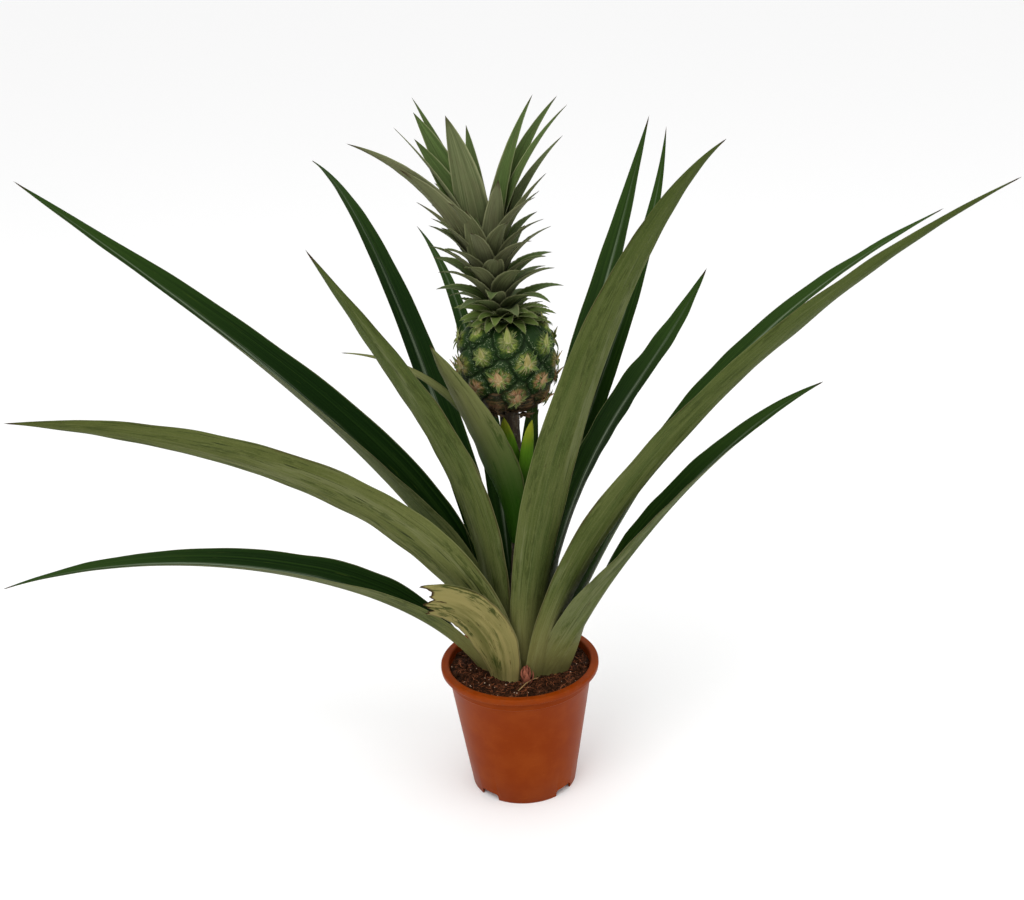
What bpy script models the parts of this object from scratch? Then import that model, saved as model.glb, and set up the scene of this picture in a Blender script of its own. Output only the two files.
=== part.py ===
"""A young fruiting pineapple plant in a plastic grower's pot.

Metres, +Z up. The pot's axis is Z, its feet stand on z = 0 and the front faces -Y.
"""

import math

import bmesh
import bpy
import numpy as np

GAP = 0.0003  # clearance between neighbouring pieces

# Pot
POT_H = 0.103
RIM_R = 0.060  # outside of the rolled lip
POT_TOP_R = 0.055  # outside of the wall, just under the lip
POT_BASE_R = 0.040  # outside of the wall, at the feet
POT_WALL = 0.0014
LIP_H = 0.006
STEP_DROP = 0.014  # the stacking step, below the rim
STEP_OUT = 0.0004
FLOOR_T = 0.0018
FOOT_H = 0.005
FOOT_COUNT = 4
NOTCH_W = 0.016
FOOT_TURN = math.radians(47.5)  # direction of the first notch
PAD_R = 0.019  # the flat middle of the floor, which stands on the ground
DRAIN_R = 0.003
DRAIN_RING_R = 0.030
DRAIN_COUNT = 8

# Soil
SOIL_DROP = 0.010  # below the rim
SOIL_CROWN = 0.0015  # rise of the surface towards the stem

# Stem, in its socket in the soil
STEM_R = 0.011
STEM_DEPTH = 0.038
STEM_RISE = 0.032  # above the soil

# Fruit and its stalk
PEDUNCLE_R = 0.006
PEDUNCLE_BOW = 0.006  # sideways bow of the stalk, to +X
FRUIT_RISE = 0.212  # underside of the fruit, above the soil
FRUIT_R = 0.0345
FRUIT_H = 0.067
FRUIT_SEAT_R = 0.010  # flat underside on the stalk
FRUIT_TOP_R = 0.013  # flat top under the crown
EYE_BUMP = 0.0022
EYE_COUNT = 35
GOLDEN = math.radians(137.508)

# Crown
CORE_R = 0.0085
CORE_TIP_R = 0.004
CORE_H = 0.082
CROWN_LEAVES = 33
CROWN_LEAN = math.tan(math.radians(4))  # to -X
CROWN_TURN = math.radians(62)
CROWN_LEAF_T = 0.0011
CROWN_LEAF_W = 0.022
CROWN_CLASP = math.radians(40)  # half of the turn that a foot may take round the core
# How the crown's leaves change from the lowest (0) to the highest (1).
CROWN_AT = (0.0, 0.45, 0.75, 1.0)
CROWN_LENGTH = (0.036, 0.056, 0.100, 0.036)
CROWN_RISE = (42, 60, 74, 82)  # degrees up from level, at the foot
CROWN_TIP_RISE = (-4, 22, 46, 66)  # and at the tip

# Long leaves: rings of bases around the stem
RING_STEP = 0.0040
LEAF_SCALE = 1.0  # length of the long leaves
LEAF_T = 0.0024  # at the base, on the midrib
LEAF_TIP_T = 0.0009
LEAF_STATIONS = 16
BRACT_T = 0.0012
BRACT_GAP = 0.0010
BRACT_STATIONS = 9

# Each long leaf: the ring its base stands in and its direction (degrees, 0 is +X, 90 is +Y), how far
# and how steeply it starts out, then its shoulder and its tip from the stem's foot (metres), its
# width, the twist it gains by the tip (degrees) and how blunt the tip is.
LONG_LEAVES = {
    "leaf_far_left": (2, 168, 0.135, 88, (-0.198, 0.038, 0.266), (-0.346, 0.069, 0.377), 0.054, -12, 1.8),
    "leaf_left": (2, -117, 0.160, 80, (-0.193, -0.041, 0.223), (-0.346, -0.036, 0.232), 0.043, 8, 1.8),
    "leaf_low_left": (3, -172, 0.110, 62, (-0.256, 0.018, 0.118), (-0.397, 0.042, 0.067), 0.045, -16, 1.8),
    "leaf_front_left": (1, -148, 0.165, 90, (-0.050, -0.051, 0.220), (-0.118, -0.118, 0.365), 0.037, 36, 2.4),
    "leaf_back_left": (0, 136, 0.155, 79, (-0.098, 0.158, 0.333), (-0.156, 0.259, 0.346), 0.034, 0, 1.8),
    "leaf_back_narrow": (1, 97, 0.165, 80, (-0.028, 0.160, 0.258), (-0.074, 0.295, 0.278), 0.020, 0, 1.6),
    "leaf_front": (1, -78, 0.160, 86, (0.072, -0.135, 0.380), (0.123, -0.195, 0.435), 0.039, 0, 1.55),
    "leaf_back_right": (1, 42, 0.190, 81, (0.071, 0.160, 0.207), (0.127, 0.262, 0.371), 0.041, 0, 2.6),
    "leaf_back_slim": (2, 66, 0.170, 72, (0.119, 0.167, 0.232), (0.138, 0.232, 0.367), 0.028, 0, 1.8),
    "leaf_right_short": (0, -6, 0.200, 83, (0.102, 0.062, 0.192), (0.154, 0.102, 0.282), 0.040, 44, 2.6),
    "leaf_right": (2, -58, 0.165, 76, (0.188, -0.094, 0.321), (0.307, -0.129, 0.393), 0.039, -6, 1.7),
    "leaf_right_back": (2, -1, 0.210, 69, (0.177, -0.001, 0.280), (0.303, 0.008, 0.343), 0.038, 10, 1.8),
    "leaf_low_right": (3, -22, 0.112, 62, (0.132, -0.049, 0.200), (0.210, -0.061, 0.246), 0.047, 40, 1.8),
    "leaf_inner": (0, 72, 0.110, 86, (0.014, 0.030, 0.170), (0.022, 0.052, 0.232), 0.022, 0, 1.8),
    "leaf_stub": (3, -119, 0.040, 86, (-0.034, -0.046, 0.084), (-0.056, -0.066, 0.097), 0.032, 0, 9.0),
}

# Each bract on the stalk, in the same way, after the height of its foot above the soil.
BRACTS = {
    "bract_large": (0.110, -135, 0.074, 84, (-0.034, -0.035, 0.232), (-0.050, -0.063, 0.283), 0.028, 8, 1.7),
    "bract_thin": (0.137, 165, 0.067, 80, (-0.060, 0.013, 0.252), (-0.118, 0.020, 0.254), 0.011, 0, 1.6),
    "bract_yellow": (0.150, -40, 0.020, 80, (0.016, -0.010, 0.185), (0.020, -0.013, 0.203), 0.015, 0, 3.0),
    "bract_small": (0.172, 150, 0.010, 80, (-0.010, 0.006, 0.192), (-0.015, 0.008, 0.204), 0.009, 0, 2.0),
    "bract_back": (0.125, 60, 0.030, 84, (0.012, 0.020, 0.175), (0.022, 0.034, 0.200), 0.014, 0, 2.0),
}


def clear_scene():
    for obj in list(bpy.data.objects):
        bpy.data.objects.remove(obj)


def material(name, colour, roughness):
    made = bpy.data.materials.new(name)
    made.use_nodes = True
    shader = made.node_tree.nodes["Principled BSDF"]
    shader.inputs["Base Color"].default_value = (*colour, 1)
    shader.inputs["Roughness"].default_value = roughness
    shader.inputs["Metallic"].default_value = 0
    return made


def add(name, bm, colour, roughness):
    """Turns a bmesh into a named object with its own material."""
    bmesh.ops.recalc_face_normals(bm, faces=bm.faces)
    mesh = bpy.data.meshes.new(name)
    bm.to_mesh(mesh)
    bm.free()
    obj = bpy.data.objects.new(name, mesh)
    obj.data.materials.append(material(name, colour, roughness))
    bpy.context.collection.objects.link(obj)
    return obj


def lofted(rings, tip=None):
    """A closed solid through rings of points: the first is capped, the last is capped or drawn to a tip."""
    bm = bmesh.new()
    loops = [[bm.verts.new(point) for point in ring] for ring in rings]
    for low, high in zip(loops, loops[1:]):
        for k in range(len(low)):
            n = (k + 1) % len(low)
            bm.faces.new((low[k], low[n], high[n], high[k]))
    bm.faces.new(loops[0])
    last = loops[-1]
    if tip is None:
        bm.faces.new(last)
    else:
        end = bm.verts.new(tip)
        for k in range(len(last)):
            bm.faces.new((last[k], last[(k + 1) % len(last)], end))
    bmesh.ops.triangulate(bm, faces=[face for face in bm.faces if len(face.verts) > 4])
    return bm


def turned(profile, steps):
    """A solid of revolution about Z from (radius, z) points. A closed outline makes a ring."""
    bm = bmesh.new()
    points = [bm.verts.new((radius, 0, z)) for radius, z in profile]
    edges = [bm.edges.new(pair) for pair in zip(points, points[1:] + points[:1])]
    bmesh.ops.spin(
        bm, geom=points + edges, cent=(0, 0, 0), axis=(0, 0, 1), angle=math.tau, steps=steps,
        use_merge=True,
    )
    bmesh.ops.remove_doubles(bm, verts=bm.verts, dist=1e-6)
    return bm


def cut(obj, cutter):
    cutter.hide_render = True
    cutter.display_type = "WIRE"
    boolean = obj.modifiers.new(cutter.name, "BOOLEAN")
    boolean.object = cutter
    boolean.operation = "DIFFERENCE"
    boolean.solver = "EXACT"


def placed(obj, radius, share, first, z):
    """Sets an object on a ring about Z, a share of a turn on from the first direction."""
    turn = first + share * math.tau
    obj.location = (radius * math.cos(turn), radius * math.sin(turn), z)
    obj.rotation_euler.z = turn
    return obj


def wall_r(z):
    """Outside radius of the pot's tapered wall."""
    return POT_BASE_R + (POT_TOP_R - POT_BASE_R) * z / (POT_H - LIP_H)


def soil_z():
    return POT_H - SOIL_DROP


def fruit_z():
    return soil_z() + FRUIT_RISE


def make_pot():
    lip_z, step_z, floor_z = POT_H - LIP_H, POT_H - STEP_DROP, FOOT_H + FLOOR_T
    lip_wall = 0.0011
    outline = [
        (wall_r(0) - POT_WALL, 0),
        (wall_r(0), 0),
        (wall_r(step_z), step_z),
        (wall_r(step_z) + STEP_OUT, step_z + 0.0004),
        (POT_TOP_R + STEP_OUT, lip_z + lip_wall),
        (RIM_R - lip_wall, lip_z + lip_wall),
        (RIM_R - lip_wall, lip_z),
        (RIM_R, lip_z),
        (RIM_R, POT_H - 0.0015),
        (RIM_R - 0.0012, POT_H - 0.0003),
        (RIM_R - 0.0022, POT_H),
        (POT_TOP_R - POT_WALL + 0.0006, POT_H),
        (POT_TOP_R - POT_WALL, POT_H - 0.0006),
        (wall_r(step_z) - POT_WALL, step_z),
        (wall_r(floor_z) - POT_WALL, floor_z),
        (PAD_R + FOOT_H, floor_z),
        (PAD_R, FLOOR_T),
        (0, FLOOR_T),
        (0, 0),
        (PAD_R + FLOOR_T / 2, 0),
        (PAD_R + FOOT_H + FLOOR_T / 2, FOOT_H),
        (wall_r(FOOT_H) - POT_WALL, FOOT_H),
    ]
    pot = add("pot", turned(outline, 72), (0.30, 0.055, 0.012), 0.45)
    for k in range(FOOT_COUNT):
        bm = bmesh.new()
        bmesh.ops.create_cube(bm, size=1)
        bmesh.ops.scale(bm, verts=bm.verts, vec=(6 * POT_WALL, NOTCH_W, 2 * FOOT_H))
        cut(pot, placed(add(f"notch_{k}", bm, (1, 1, 1), 1), POT_BASE_R, k / FOOT_COUNT, FOOT_TURN, 0))
    for k in range(DRAIN_COUNT):
        bm = bmesh.new()
        bmesh.ops.create_cone(
            bm, cap_ends=True, segments=12, radius1=DRAIN_R, radius2=DRAIN_R, depth=4 * FLOOR_T
        )
        drain = add(f"drain_{k}", bm, (1, 1, 1), 1)
        cut(pot, placed(drain, DRAIN_RING_R, k / DRAIN_COUNT, 0, FOOT_H + FLOOR_T / 2))


def make_soil():
    top, bottom = soil_z(), FOOT_H + FLOOR_T + GAP
    socket_r, socket_z = STEM_R + GAP, soil_z() - STEM_DEPTH - GAP
    outer = [(wall_r(z) - POT_WALL - 2 * GAP, z) for z in (bottom, POT_H - STEP_DROP, top - 0.001)]
    edge_r = outer[-1][0]
    outline = [
        (0, FLOOR_T + GAP),
        (PAD_R - 2 * GAP, FLOOR_T + GAP),
        (PAD_R + FOOT_H - 2 * GAP, bottom),
        *outer,
        (edge_r - 0.003, top - 0.0003),
        (edge_r * 0.7, top + SOIL_CROWN * 0.3),
        (edge_r * 0.5, top + SOIL_CROWN * 0.8),
        (socket_r + 0.004, top + SOIL_CROWN),
        (socket_r, top + SOIL_CROWN),
        (socket_r * 0.62, socket_z),
        (0, socket_z),
    ]
    bm = turned(outline, 48)
    for vert in bm.verts:
        x, y, z = vert.co
        if z > top - 0.0006 and math.hypot(x, y) > socket_r + 0.005:
            vert.co.z -= 0.0006 * (1 + math.sin(173 * x + 2) * math.cos(211 * y))
    add("soil", bm, (0.030, 0.013, 0.008), 0.95)


def make_stem():
    foot, top = soil_z() - STEM_DEPTH, soil_z() + STEM_RISE
    outline = [
        (0, foot),
        (STEM_R * 0.62 - GAP, foot),
        (STEM_R, soil_z() + SOIL_CROWN),
        (STEM_R, soil_z() + STEM_RISE * 0.5),
        (STEM_R * 0.86, soil_z() + STEM_RISE * 0.85),
        (PEDUNCLE_R + 0.0005, top),
        (0, top),
    ]
    add("stem", turned(outline, 24), (0.16, 0.13, 0.06), 0.8)


def bezier(points, t):
    a, b, c, d = (np.asarray(point, float) for point in points)
    t = np.asarray(t, float)[..., None]
    return a * (1 - t) ** 3 + 3 * b * t * (1 - t) ** 2 + 3 * c * t**2 * (1 - t) + d * t**3


def peduncle_at(z):
    """(x of the stalk's centre, its radius) at a height."""
    low, high = soil_z() + STEM_RISE + GAP, fruit_z() - GAP
    s = (z - low) / (high - low)
    x = PEDUNCLE_BOW * math.sin(math.pi * s) ** 2 * (0.4 + 0.6 * s)
    return x, PEDUNCLE_R * (1 + 0.12 * math.cos(math.tau * s))


def make_peduncle():
    rings = []
    for z in np.linspace(soil_z() + STEM_RISE + GAP, fruit_z() - GAP, 10):
        x, radius = peduncle_at(z)
        rings.append([
            (x + radius * math.cos(a), radius * math.sin(a), z)
            for a in np.arange(16) * math.tau / 16
        ])
    add("peduncle", lofted(rings), (0.10, 0.07, 0.05), 0.75)


def make_fruit():
    """A barrel with one low bump for each eye, the eyes set on a spiral."""
    columns, rows = 56, 18
    eyes = [(-k * GOLDEN, (k + 0.5) / EYE_COUNT) for k in range(EYE_COUNT)]
    rings = []
    for row in range(rows + 1):
        s = row / rows
        belly = (1 - abs(2 * s - 1) ** 2.4) ** (1 / 2.4)
        seat = FRUIT_SEAT_R + (FRUIT_TOP_R - FRUIT_SEAT_R) * s
        radius = seat + (FRUIT_R - EYE_BUMP - seat) * belly
        ring = []
        for a in np.arange(columns) * math.tau / columns:
            near = min(
                math.hypot(math.remainder(a - turn, math.tau) * FRUIT_R, (s - height) * FRUIT_H)
                for turn, height in eyes
            )
            bump = EYE_BUMP * max(0.0, 1 - (near / 0.0125) ** 2) * (0 < row < rows)
            reach = radius + bump * min(1, 1.6 * belly)
            ring.append((reach * math.cos(a), reach * math.sin(a), fruit_z() + FRUIT_H * s))
        rings.append(ring)
    add("fruit", lofted(rings), (0.06, 0.11, 0.02), 0.55)


def crown_z():
    return fruit_z() + FRUIT_H + GAP


def leaned(point):
    """Moves a point of the upright crown to where the lean puts it."""
    x, y, z = point
    return (x - CROWN_LEAN * (z - crown_z()), y, z)


def make_crown_core():
    rings = []
    for s in (0, 0.3, 0.6, 0.85, 1):
        radius = CORE_R + (CORE_TIP_R - CORE_R) * s**1.5
        z = crown_z() + CORE_H * s
        rings.append([
            leaned((radius * math.cos(a), radius * math.sin(a), z))
            for a in np.arange(14) * math.tau / 14
        ])
    add("crown_core", lofted(rings), (0.10, 0.14, 0.05), 0.7)


def make_crown_leaf(number):
    """One leaf of the crown, a patch of a cone about the crown's axis, so that the leaves nest."""
    s = number / (CROWN_LEAVES - 1)
    turn = CROWN_TURN + number * GOLDEN
    start_z = crown_z() + 0.002 + (CORE_H - 0.006) * s**0.9
    core = CORE_R + (CORE_TIP_R - CORE_R) * ((start_z - crown_z()) / CORE_H) ** 1.5
    length = np.interp(s, CROWN_AT, CROWN_LENGTH)
    rise = math.radians(np.interp(s, CROWN_AT, CROWN_RISE))
    tip_rise = math.radians(np.interp(s, CROWN_AT, CROWN_TIP_RISE))
    steps = 6
    along, height = core + CROWN_LEAF_T / 2 + 0.0008, start_z
    rings = []
    for k in range(steps):
        q = k / steps
        spread = min(CROWN_LEAF_W / 2 / along, CROWN_CLASP) * (1 - q**1.7)
        t = CROWN_LEAF_T * (1 - 0.6 * q) / 2
        angle = rise + (tip_rise - rise) * q
        out = (math.sin(angle) * t, math.cos(angle) * t)
        ring = [
            (along, height, spread),
            (along - out[0], height + out[1], 0),
            (along, height, -spread),
            (along + out[0], height - out[1], 0),
        ]
        rings.append([
            leaned((radius * math.cos(turn + a), radius * math.sin(turn + a), z))
            for radius, z, a in ring
        ])
        along += math.cos(angle) * length / steps
        height += math.sin(angle) * length / steps
    tip = leaned((along * math.cos(turn), along * math.sin(turn), height))
    shade = 0.8 + 0.4 * (number % 3) / 2
    colour = (0.09 * shade, 0.15 * shade, 0.07 * shade)
    add(f"crown_leaf_{number + 1:02d}", lofted(rings, tip), colour, 0.5)


def blade(spine, base_dir, half_width, cup, thick, twist):
    """A channelled leaf blade along a spine (n x 3 points), as a closed solid with sharp margins."""
    tangent = np.gradient(spine, axis=0)
    tangent /= np.linalg.norm(tangent, axis=1)[:, None]
    side = np.array([-math.sin(base_dir), math.cos(base_dir), 0.0])
    section = [(1, 0), (0.5, 1), (0, 1), (-0.5, 1), (-1, 0), (-0.5, -1), (0, -1), (0.5, -1)]
    count = len(spine)
    rings = []
    for k in range(count - 1):
        side = side - tangent[k] * (side @ tangent[k])
        side /= np.linalg.norm(side)
        up = np.cross(tangent[k], side)
        turn = math.radians(twist) * (k / (count - 1)) ** 0.8
        across = side * math.cos(turn) + up * math.sin(turn)
        face = up * math.cos(turn) - side * math.sin(turn)
        radius = half_width[k] / cup[k]
        ring = []
        for u, layer in section:
            arm = radius - layer * thick[k] / 2 * math.sqrt(1 - u * u)
            bend = cup[k] * u
            ring.append(spine[k] + across * arm * math.sin(bend) + face * (radius - arm * math.cos(bend)))
        rings.append(ring)
    for point in rings[0]:
        point[2] = spine[0][2]
    return lofted(rings, spine[-1])


def make_leaf(name, base, ring_r, row, scale, thick, stations, colour):
    """A leaf that clasps a stem of radius ring_r, from a row of LONG_LEAVES or BRACTS, scaled in length."""
    direction, launch, rise, shoulder, tip, width, twist, blunt = row
    direction, rise = math.radians(direction), math.radians(rise)
    foot = np.array([0, 0, soil_z()])
    out = np.array([
        math.cos(rise) * math.cos(direction), math.cos(rise) * math.sin(direction), math.sin(rise),
    ])
    points = (
        base,
        base + out * launch * scale,
        foot + np.array(shoulder) * scale,
        foot + np.array(tip) * scale,
    )
    t = np.linspace(0, 1, stations)
    neck = 0.55 + 0.45 * np.clip(t / 0.3, 0, 1) ** 0.8
    half_width = width / 2 * neck * (1 - np.clip((t - 0.25) / 0.75, 0, 1) ** blunt)
    cup = 0.35 + (half_width[0] / ring_r - 0.35) * (1 - np.clip(t / 0.3, 0, 1)) ** 1.5
    thickness = LEAF_TIP_T + (thick - LEAF_TIP_T) * (1 - t) ** 2
    add(name, blade(bezier(points, t), direction, half_width, cup, thickness, twist), colour, 0.45)


def make_long_leaves():
    for name, (ring, *row) in LONG_LEAVES.items():
        ring_r = STEM_R + GAP + LEAF_T / 2 + 0.001 + RING_STEP * ring
        turn = math.radians(row[0])
        base = np.array([
            ring_r * math.cos(turn), ring_r * math.sin(turn), soil_z() + SOIL_CROWN + GAP,
        ])
        colour = (0.30, 0.28, 0.11) if name == "leaf_stub" else (0.055, 0.105, 0.045)
        make_leaf(name, base, ring_r, row, LEAF_SCALE, LEAF_T, LEAF_STATIONS, colour)


def make_bracts():
    for name, (height, *row) in BRACTS.items():
        z = soil_z() + height
        x, radius = peduncle_at(z)
        ring_r = radius + BRACT_T / 2 + BRACT_GAP
        turn = math.radians(row[0])
        base = np.array([x + ring_r * math.cos(turn), ring_r * math.sin(turn), z])
        make_leaf(name, base, ring_r, row, 1, BRACT_T, BRACT_STATIONS, (0.19, 0.21, 0.06))


def main():
    clear_scene()
    make_pot()
    make_soil()
    make_stem()
    make_peduncle()
    make_fruit()
    make_crown_core()
    for number in range(CROWN_LEAVES):
        make_crown_leaf(number)
    make_long_leaves()
    make_bracts()


main()
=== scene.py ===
"""Looks of a young fruiting pineapple plant in a plastic grower's pot, built round its CAD frame.

Metres, +Z up, the pot's axis on Z and the front facing -Y, as in the frame.
"""

import math
import random
from typing import NamedTuple

import bmesh
import bpy
import numpy as np
from mathutils import Color, Euler, Matrix, Vector, noise


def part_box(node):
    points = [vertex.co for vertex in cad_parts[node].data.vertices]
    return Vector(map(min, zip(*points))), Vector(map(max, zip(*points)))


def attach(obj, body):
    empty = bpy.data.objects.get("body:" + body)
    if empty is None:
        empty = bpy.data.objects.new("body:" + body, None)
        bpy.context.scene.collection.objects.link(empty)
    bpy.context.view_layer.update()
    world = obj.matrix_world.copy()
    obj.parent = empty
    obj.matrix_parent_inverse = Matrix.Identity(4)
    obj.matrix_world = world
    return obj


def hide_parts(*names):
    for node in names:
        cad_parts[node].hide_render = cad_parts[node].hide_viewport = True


bl_info = {
    "name": "Potted Pineapple Plant",
    "version": (1, 0, 0),
    "blender": (4, 5, 0),
    "location": "View3D > Sidebar > Plant",
    "description": "Builds the visible surfaces of a potted pineapple plant round its CAD frame",
    "category": "Object",
}

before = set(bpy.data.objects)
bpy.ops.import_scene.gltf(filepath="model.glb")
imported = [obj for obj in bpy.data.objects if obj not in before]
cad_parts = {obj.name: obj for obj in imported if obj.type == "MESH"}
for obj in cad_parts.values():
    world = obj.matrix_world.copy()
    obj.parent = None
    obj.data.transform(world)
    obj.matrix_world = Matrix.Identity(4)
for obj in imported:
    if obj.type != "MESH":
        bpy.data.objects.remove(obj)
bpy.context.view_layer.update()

POT_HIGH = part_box("pot")[1]
SOIL_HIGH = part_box("soil")[1]
STEM_LOW, STEM_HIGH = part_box("stem")
FRUIT_LOW, FRUIT_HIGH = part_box("fruit")
CROWN_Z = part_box("crown_core")[0].z

GOLDEN = math.radians(137.508)  # the turn from one leaf or eye of a spiral to the next
UP = np.array([0, 0, 1.0])
SOIL_Z = 0.093  # the frame's soil at the pot's wall, from which the leaves are measured
SOIL_TOP = 0.0982  # the soil that shows, a little above that of the frame
SOIL_EDGE = POT_HIGH.x - 0.0064  # its radius, where it meets the pot
POT_BASE_R = 0.040  # outside of the pot's wall at the feet
POT_FLOOR_Z = 0.0068  # inside of the pot's floor
STEM_R = 0.011
STALK_R = 0.006
RING_STEP = 0.0040  # from one ring of leaf bases to the next
CLASP_GAP = 0.0013  # between the stem and the innermost ring
LEAF_T = 0.0024
TIP_T = 0.0008
BRACT_T = 0.0012


class Leaf(NamedTuple):
    """The course and the looks of one leaf. Lengths in metres, angles in degrees."""

    level: float  # number of its ring, or the height of a bract's foot above the soil
    direction: float
    launch: float  # how far it goes on the way in which it starts out
    rise: float  # how steeply it starts out
    shoulder: tuple  # from the stem's foot
    tip: tuple
    width: float
    twist: float  # gained by the tip
    blunt: float
    ripple: float
    tone: float  # 0 grey-green, 1 fresh green
    dry: float  # share of it that is dry
    channel: float = 0.45  # how far the margins bend up, in radians
    roll: float = 0  # how far the foot is rolled over
    fold: float = 0.20  # how crisply it is folded along the midrib


class TopLeaf(NamedTuple):
    """One of the crown's long upper leaves. Lengths in metres, angles in degrees."""

    direction: float
    foot: float  # height on the crown's core
    length: float
    rise: float  # at the foot
    tip_rise: float
    width: float
    roll: float  # about its own length
    tone: float
    blunt: float


LONG_LEAVES = {
    "leaf_far_left": Leaf(
        2, 168, 0.135, 88, (-0.198, 0.038, 0.266), (-0.346, 0.069, 0.377),
        0.054, -12, 1.8, 0.0008, 0.35, 0.1, 1.45, 50, 0.85,
    ),
    "leaf_left": Leaf(
        2, -117, 0.160, 80, (-0.193, -0.041, 0.223), (-0.346, -0.036, 0.232),
        0.043, 8, 2.3, 0.0012, 0.25, 0.24, 0.50,
    ),
    "leaf_low_left": Leaf(
        3, -172, 0.110, 62, (-0.256, 0.018, 0.118), (-0.397, 0.042, 0.067),
        0.045, -16, 1.8, 0.0010, 0.45, 0.2, 0.90, 30, 0.85,
    ),
    "leaf_front_left": Leaf(
        1, -148, 0.165, 90, (-0.050, -0.051, 0.220), (-0.118, -0.118, 0.365),
        0.037, 36, 2.4, 0.0010, 0.35, 0.1,
    ),
    "leaf_back_left": Leaf(
        0, 136, 0.155, 79, (-0.098, 0.158, 0.333), (-0.156, 0.259, 0.346),
        0.034, 0, 1.8, 0.0008, 0.30, 0.1, 0.60, 0, 0.60,
    ),
    "leaf_back_narrow": Leaf(
        1, 97, 0.165, 80, (-0.028, 0.160, 0.258), (-0.074, 0.295, 0.278),
        0.020, 0, 1.6, 0.0006, 0.4, 0.1,
    ),
    "leaf_front": Leaf(
        1, -78, 0.160, 86, (0.072, -0.135, 0.380), (0.123, -0.195, 0.435),
        0.034, 0, 1.7, 0.0010, 0.3, 0.08,
    ),
    "leaf_back_right": Leaf(
        1, 42, 0.190, 81, (0.071, 0.160, 0.207), (0.127, 0.262, 0.371),
        0.041, 0, 2.6, 0.0008, 0.55, 0.0, 0.45, 0, 0.40,
    ),
    "leaf_back_slim": Leaf(
        2, 66, 0.170, 72, (0.119, 0.167, 0.232), (0.138, 0.232, 0.367),
        0.028, 0, 1.8, 0.0008, 0.55, 0.0, 0.45, 0, 0.40,
    ),
    "leaf_right_short": Leaf(
        0, -6, 0.200, 83, (0.102, 0.062, 0.192), (0.154, 0.102, 0.282),
        0.040, 44, 2.6, 0.0016, 0.5, 0.0, 0.50, 0, 0.50,
    ),
    "leaf_right": Leaf(
        2, -58, 0.165, 76, (0.188, -0.094, 0.321), (0.307, -0.129, 0.393),
        0.034, -6, 1.7, 0.0014, 0.50, 0.1, 0.50,
    ),
    "leaf_right_back": Leaf(
        2, -1, 0.210, 69, (0.177, -0.001, 0.280), (0.303, 0.008, 0.343),
        0.038, 10, 1.8, 0.0010, 0.9, 0.0, 0.50, 0, 0.50,
    ),
    "leaf_low_right": Leaf(
        3, -36, 0.112, 62, (0.132, -0.049, 0.200), (0.210, -0.061, 0.246),
        0.047, 40, 1.8, 0.0010, 0.55, 0.1, 0.80, -50, 0.70,
    ),
    "leaf_inner": Leaf(
        0, 72, 0.110, 86, (0.014, 0.030, 0.170), (0.022, 0.052, 0.232),
        0.022, 0, 1.8, 0.0004, 0.9, 0.0,
    ),
    "leaf_stub": Leaf(
        3, -119, 0.044, 86, (-0.030, -0.047, 0.086), (-0.064, -0.056, 0.092),
        0.036, 52, 9.0, 0.0012, 0.0, 1.0,
    ),
}

BRACTS = {
    "bract_large": Leaf(
        0.110, -130, 0.074, 84, (-0.030, -0.037, 0.232), (-0.050, -0.063, 0.284),
        0.037, 8, 2.3, 0.0008, 0.3, 0.25, 0.60,
    ),
    "bract_thin": Leaf(
        0.137, 165, 0.067, 80, (-0.060, 0.013, 0.252), (-0.118, 0.020, 0.254),
        0.016, 0, 1.6, 0.0004, 0.2, 0.3, 0.60,
    ),
    "bract_yellow": Leaf(
        0.140, -52, 0.022, 80, (0.013, -0.010, 0.196), (0.016, -0.012, 0.209),
        0.014, 0, 3.0, 0.0003, 1.0, 0.35, 0.60,
    ),
    "bract_small": Leaf(
        0.165, -106, 0.010, 80, (-0.003, -0.009, 0.200), (-0.004, -0.012, 0.212),
        0.015, 0, 2.0, 0.0002, 0.8, 0.1, 0.60,
    ),
    "bract_back": Leaf(
        0.125, 60, 0.030, 84, (0.012, 0.020, 0.175), (0.022, 0.034, 0.200),
        0.014, 0, 2.0, 0.0003, 0.9, 0.0, 0.60,
    ),
}

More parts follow.
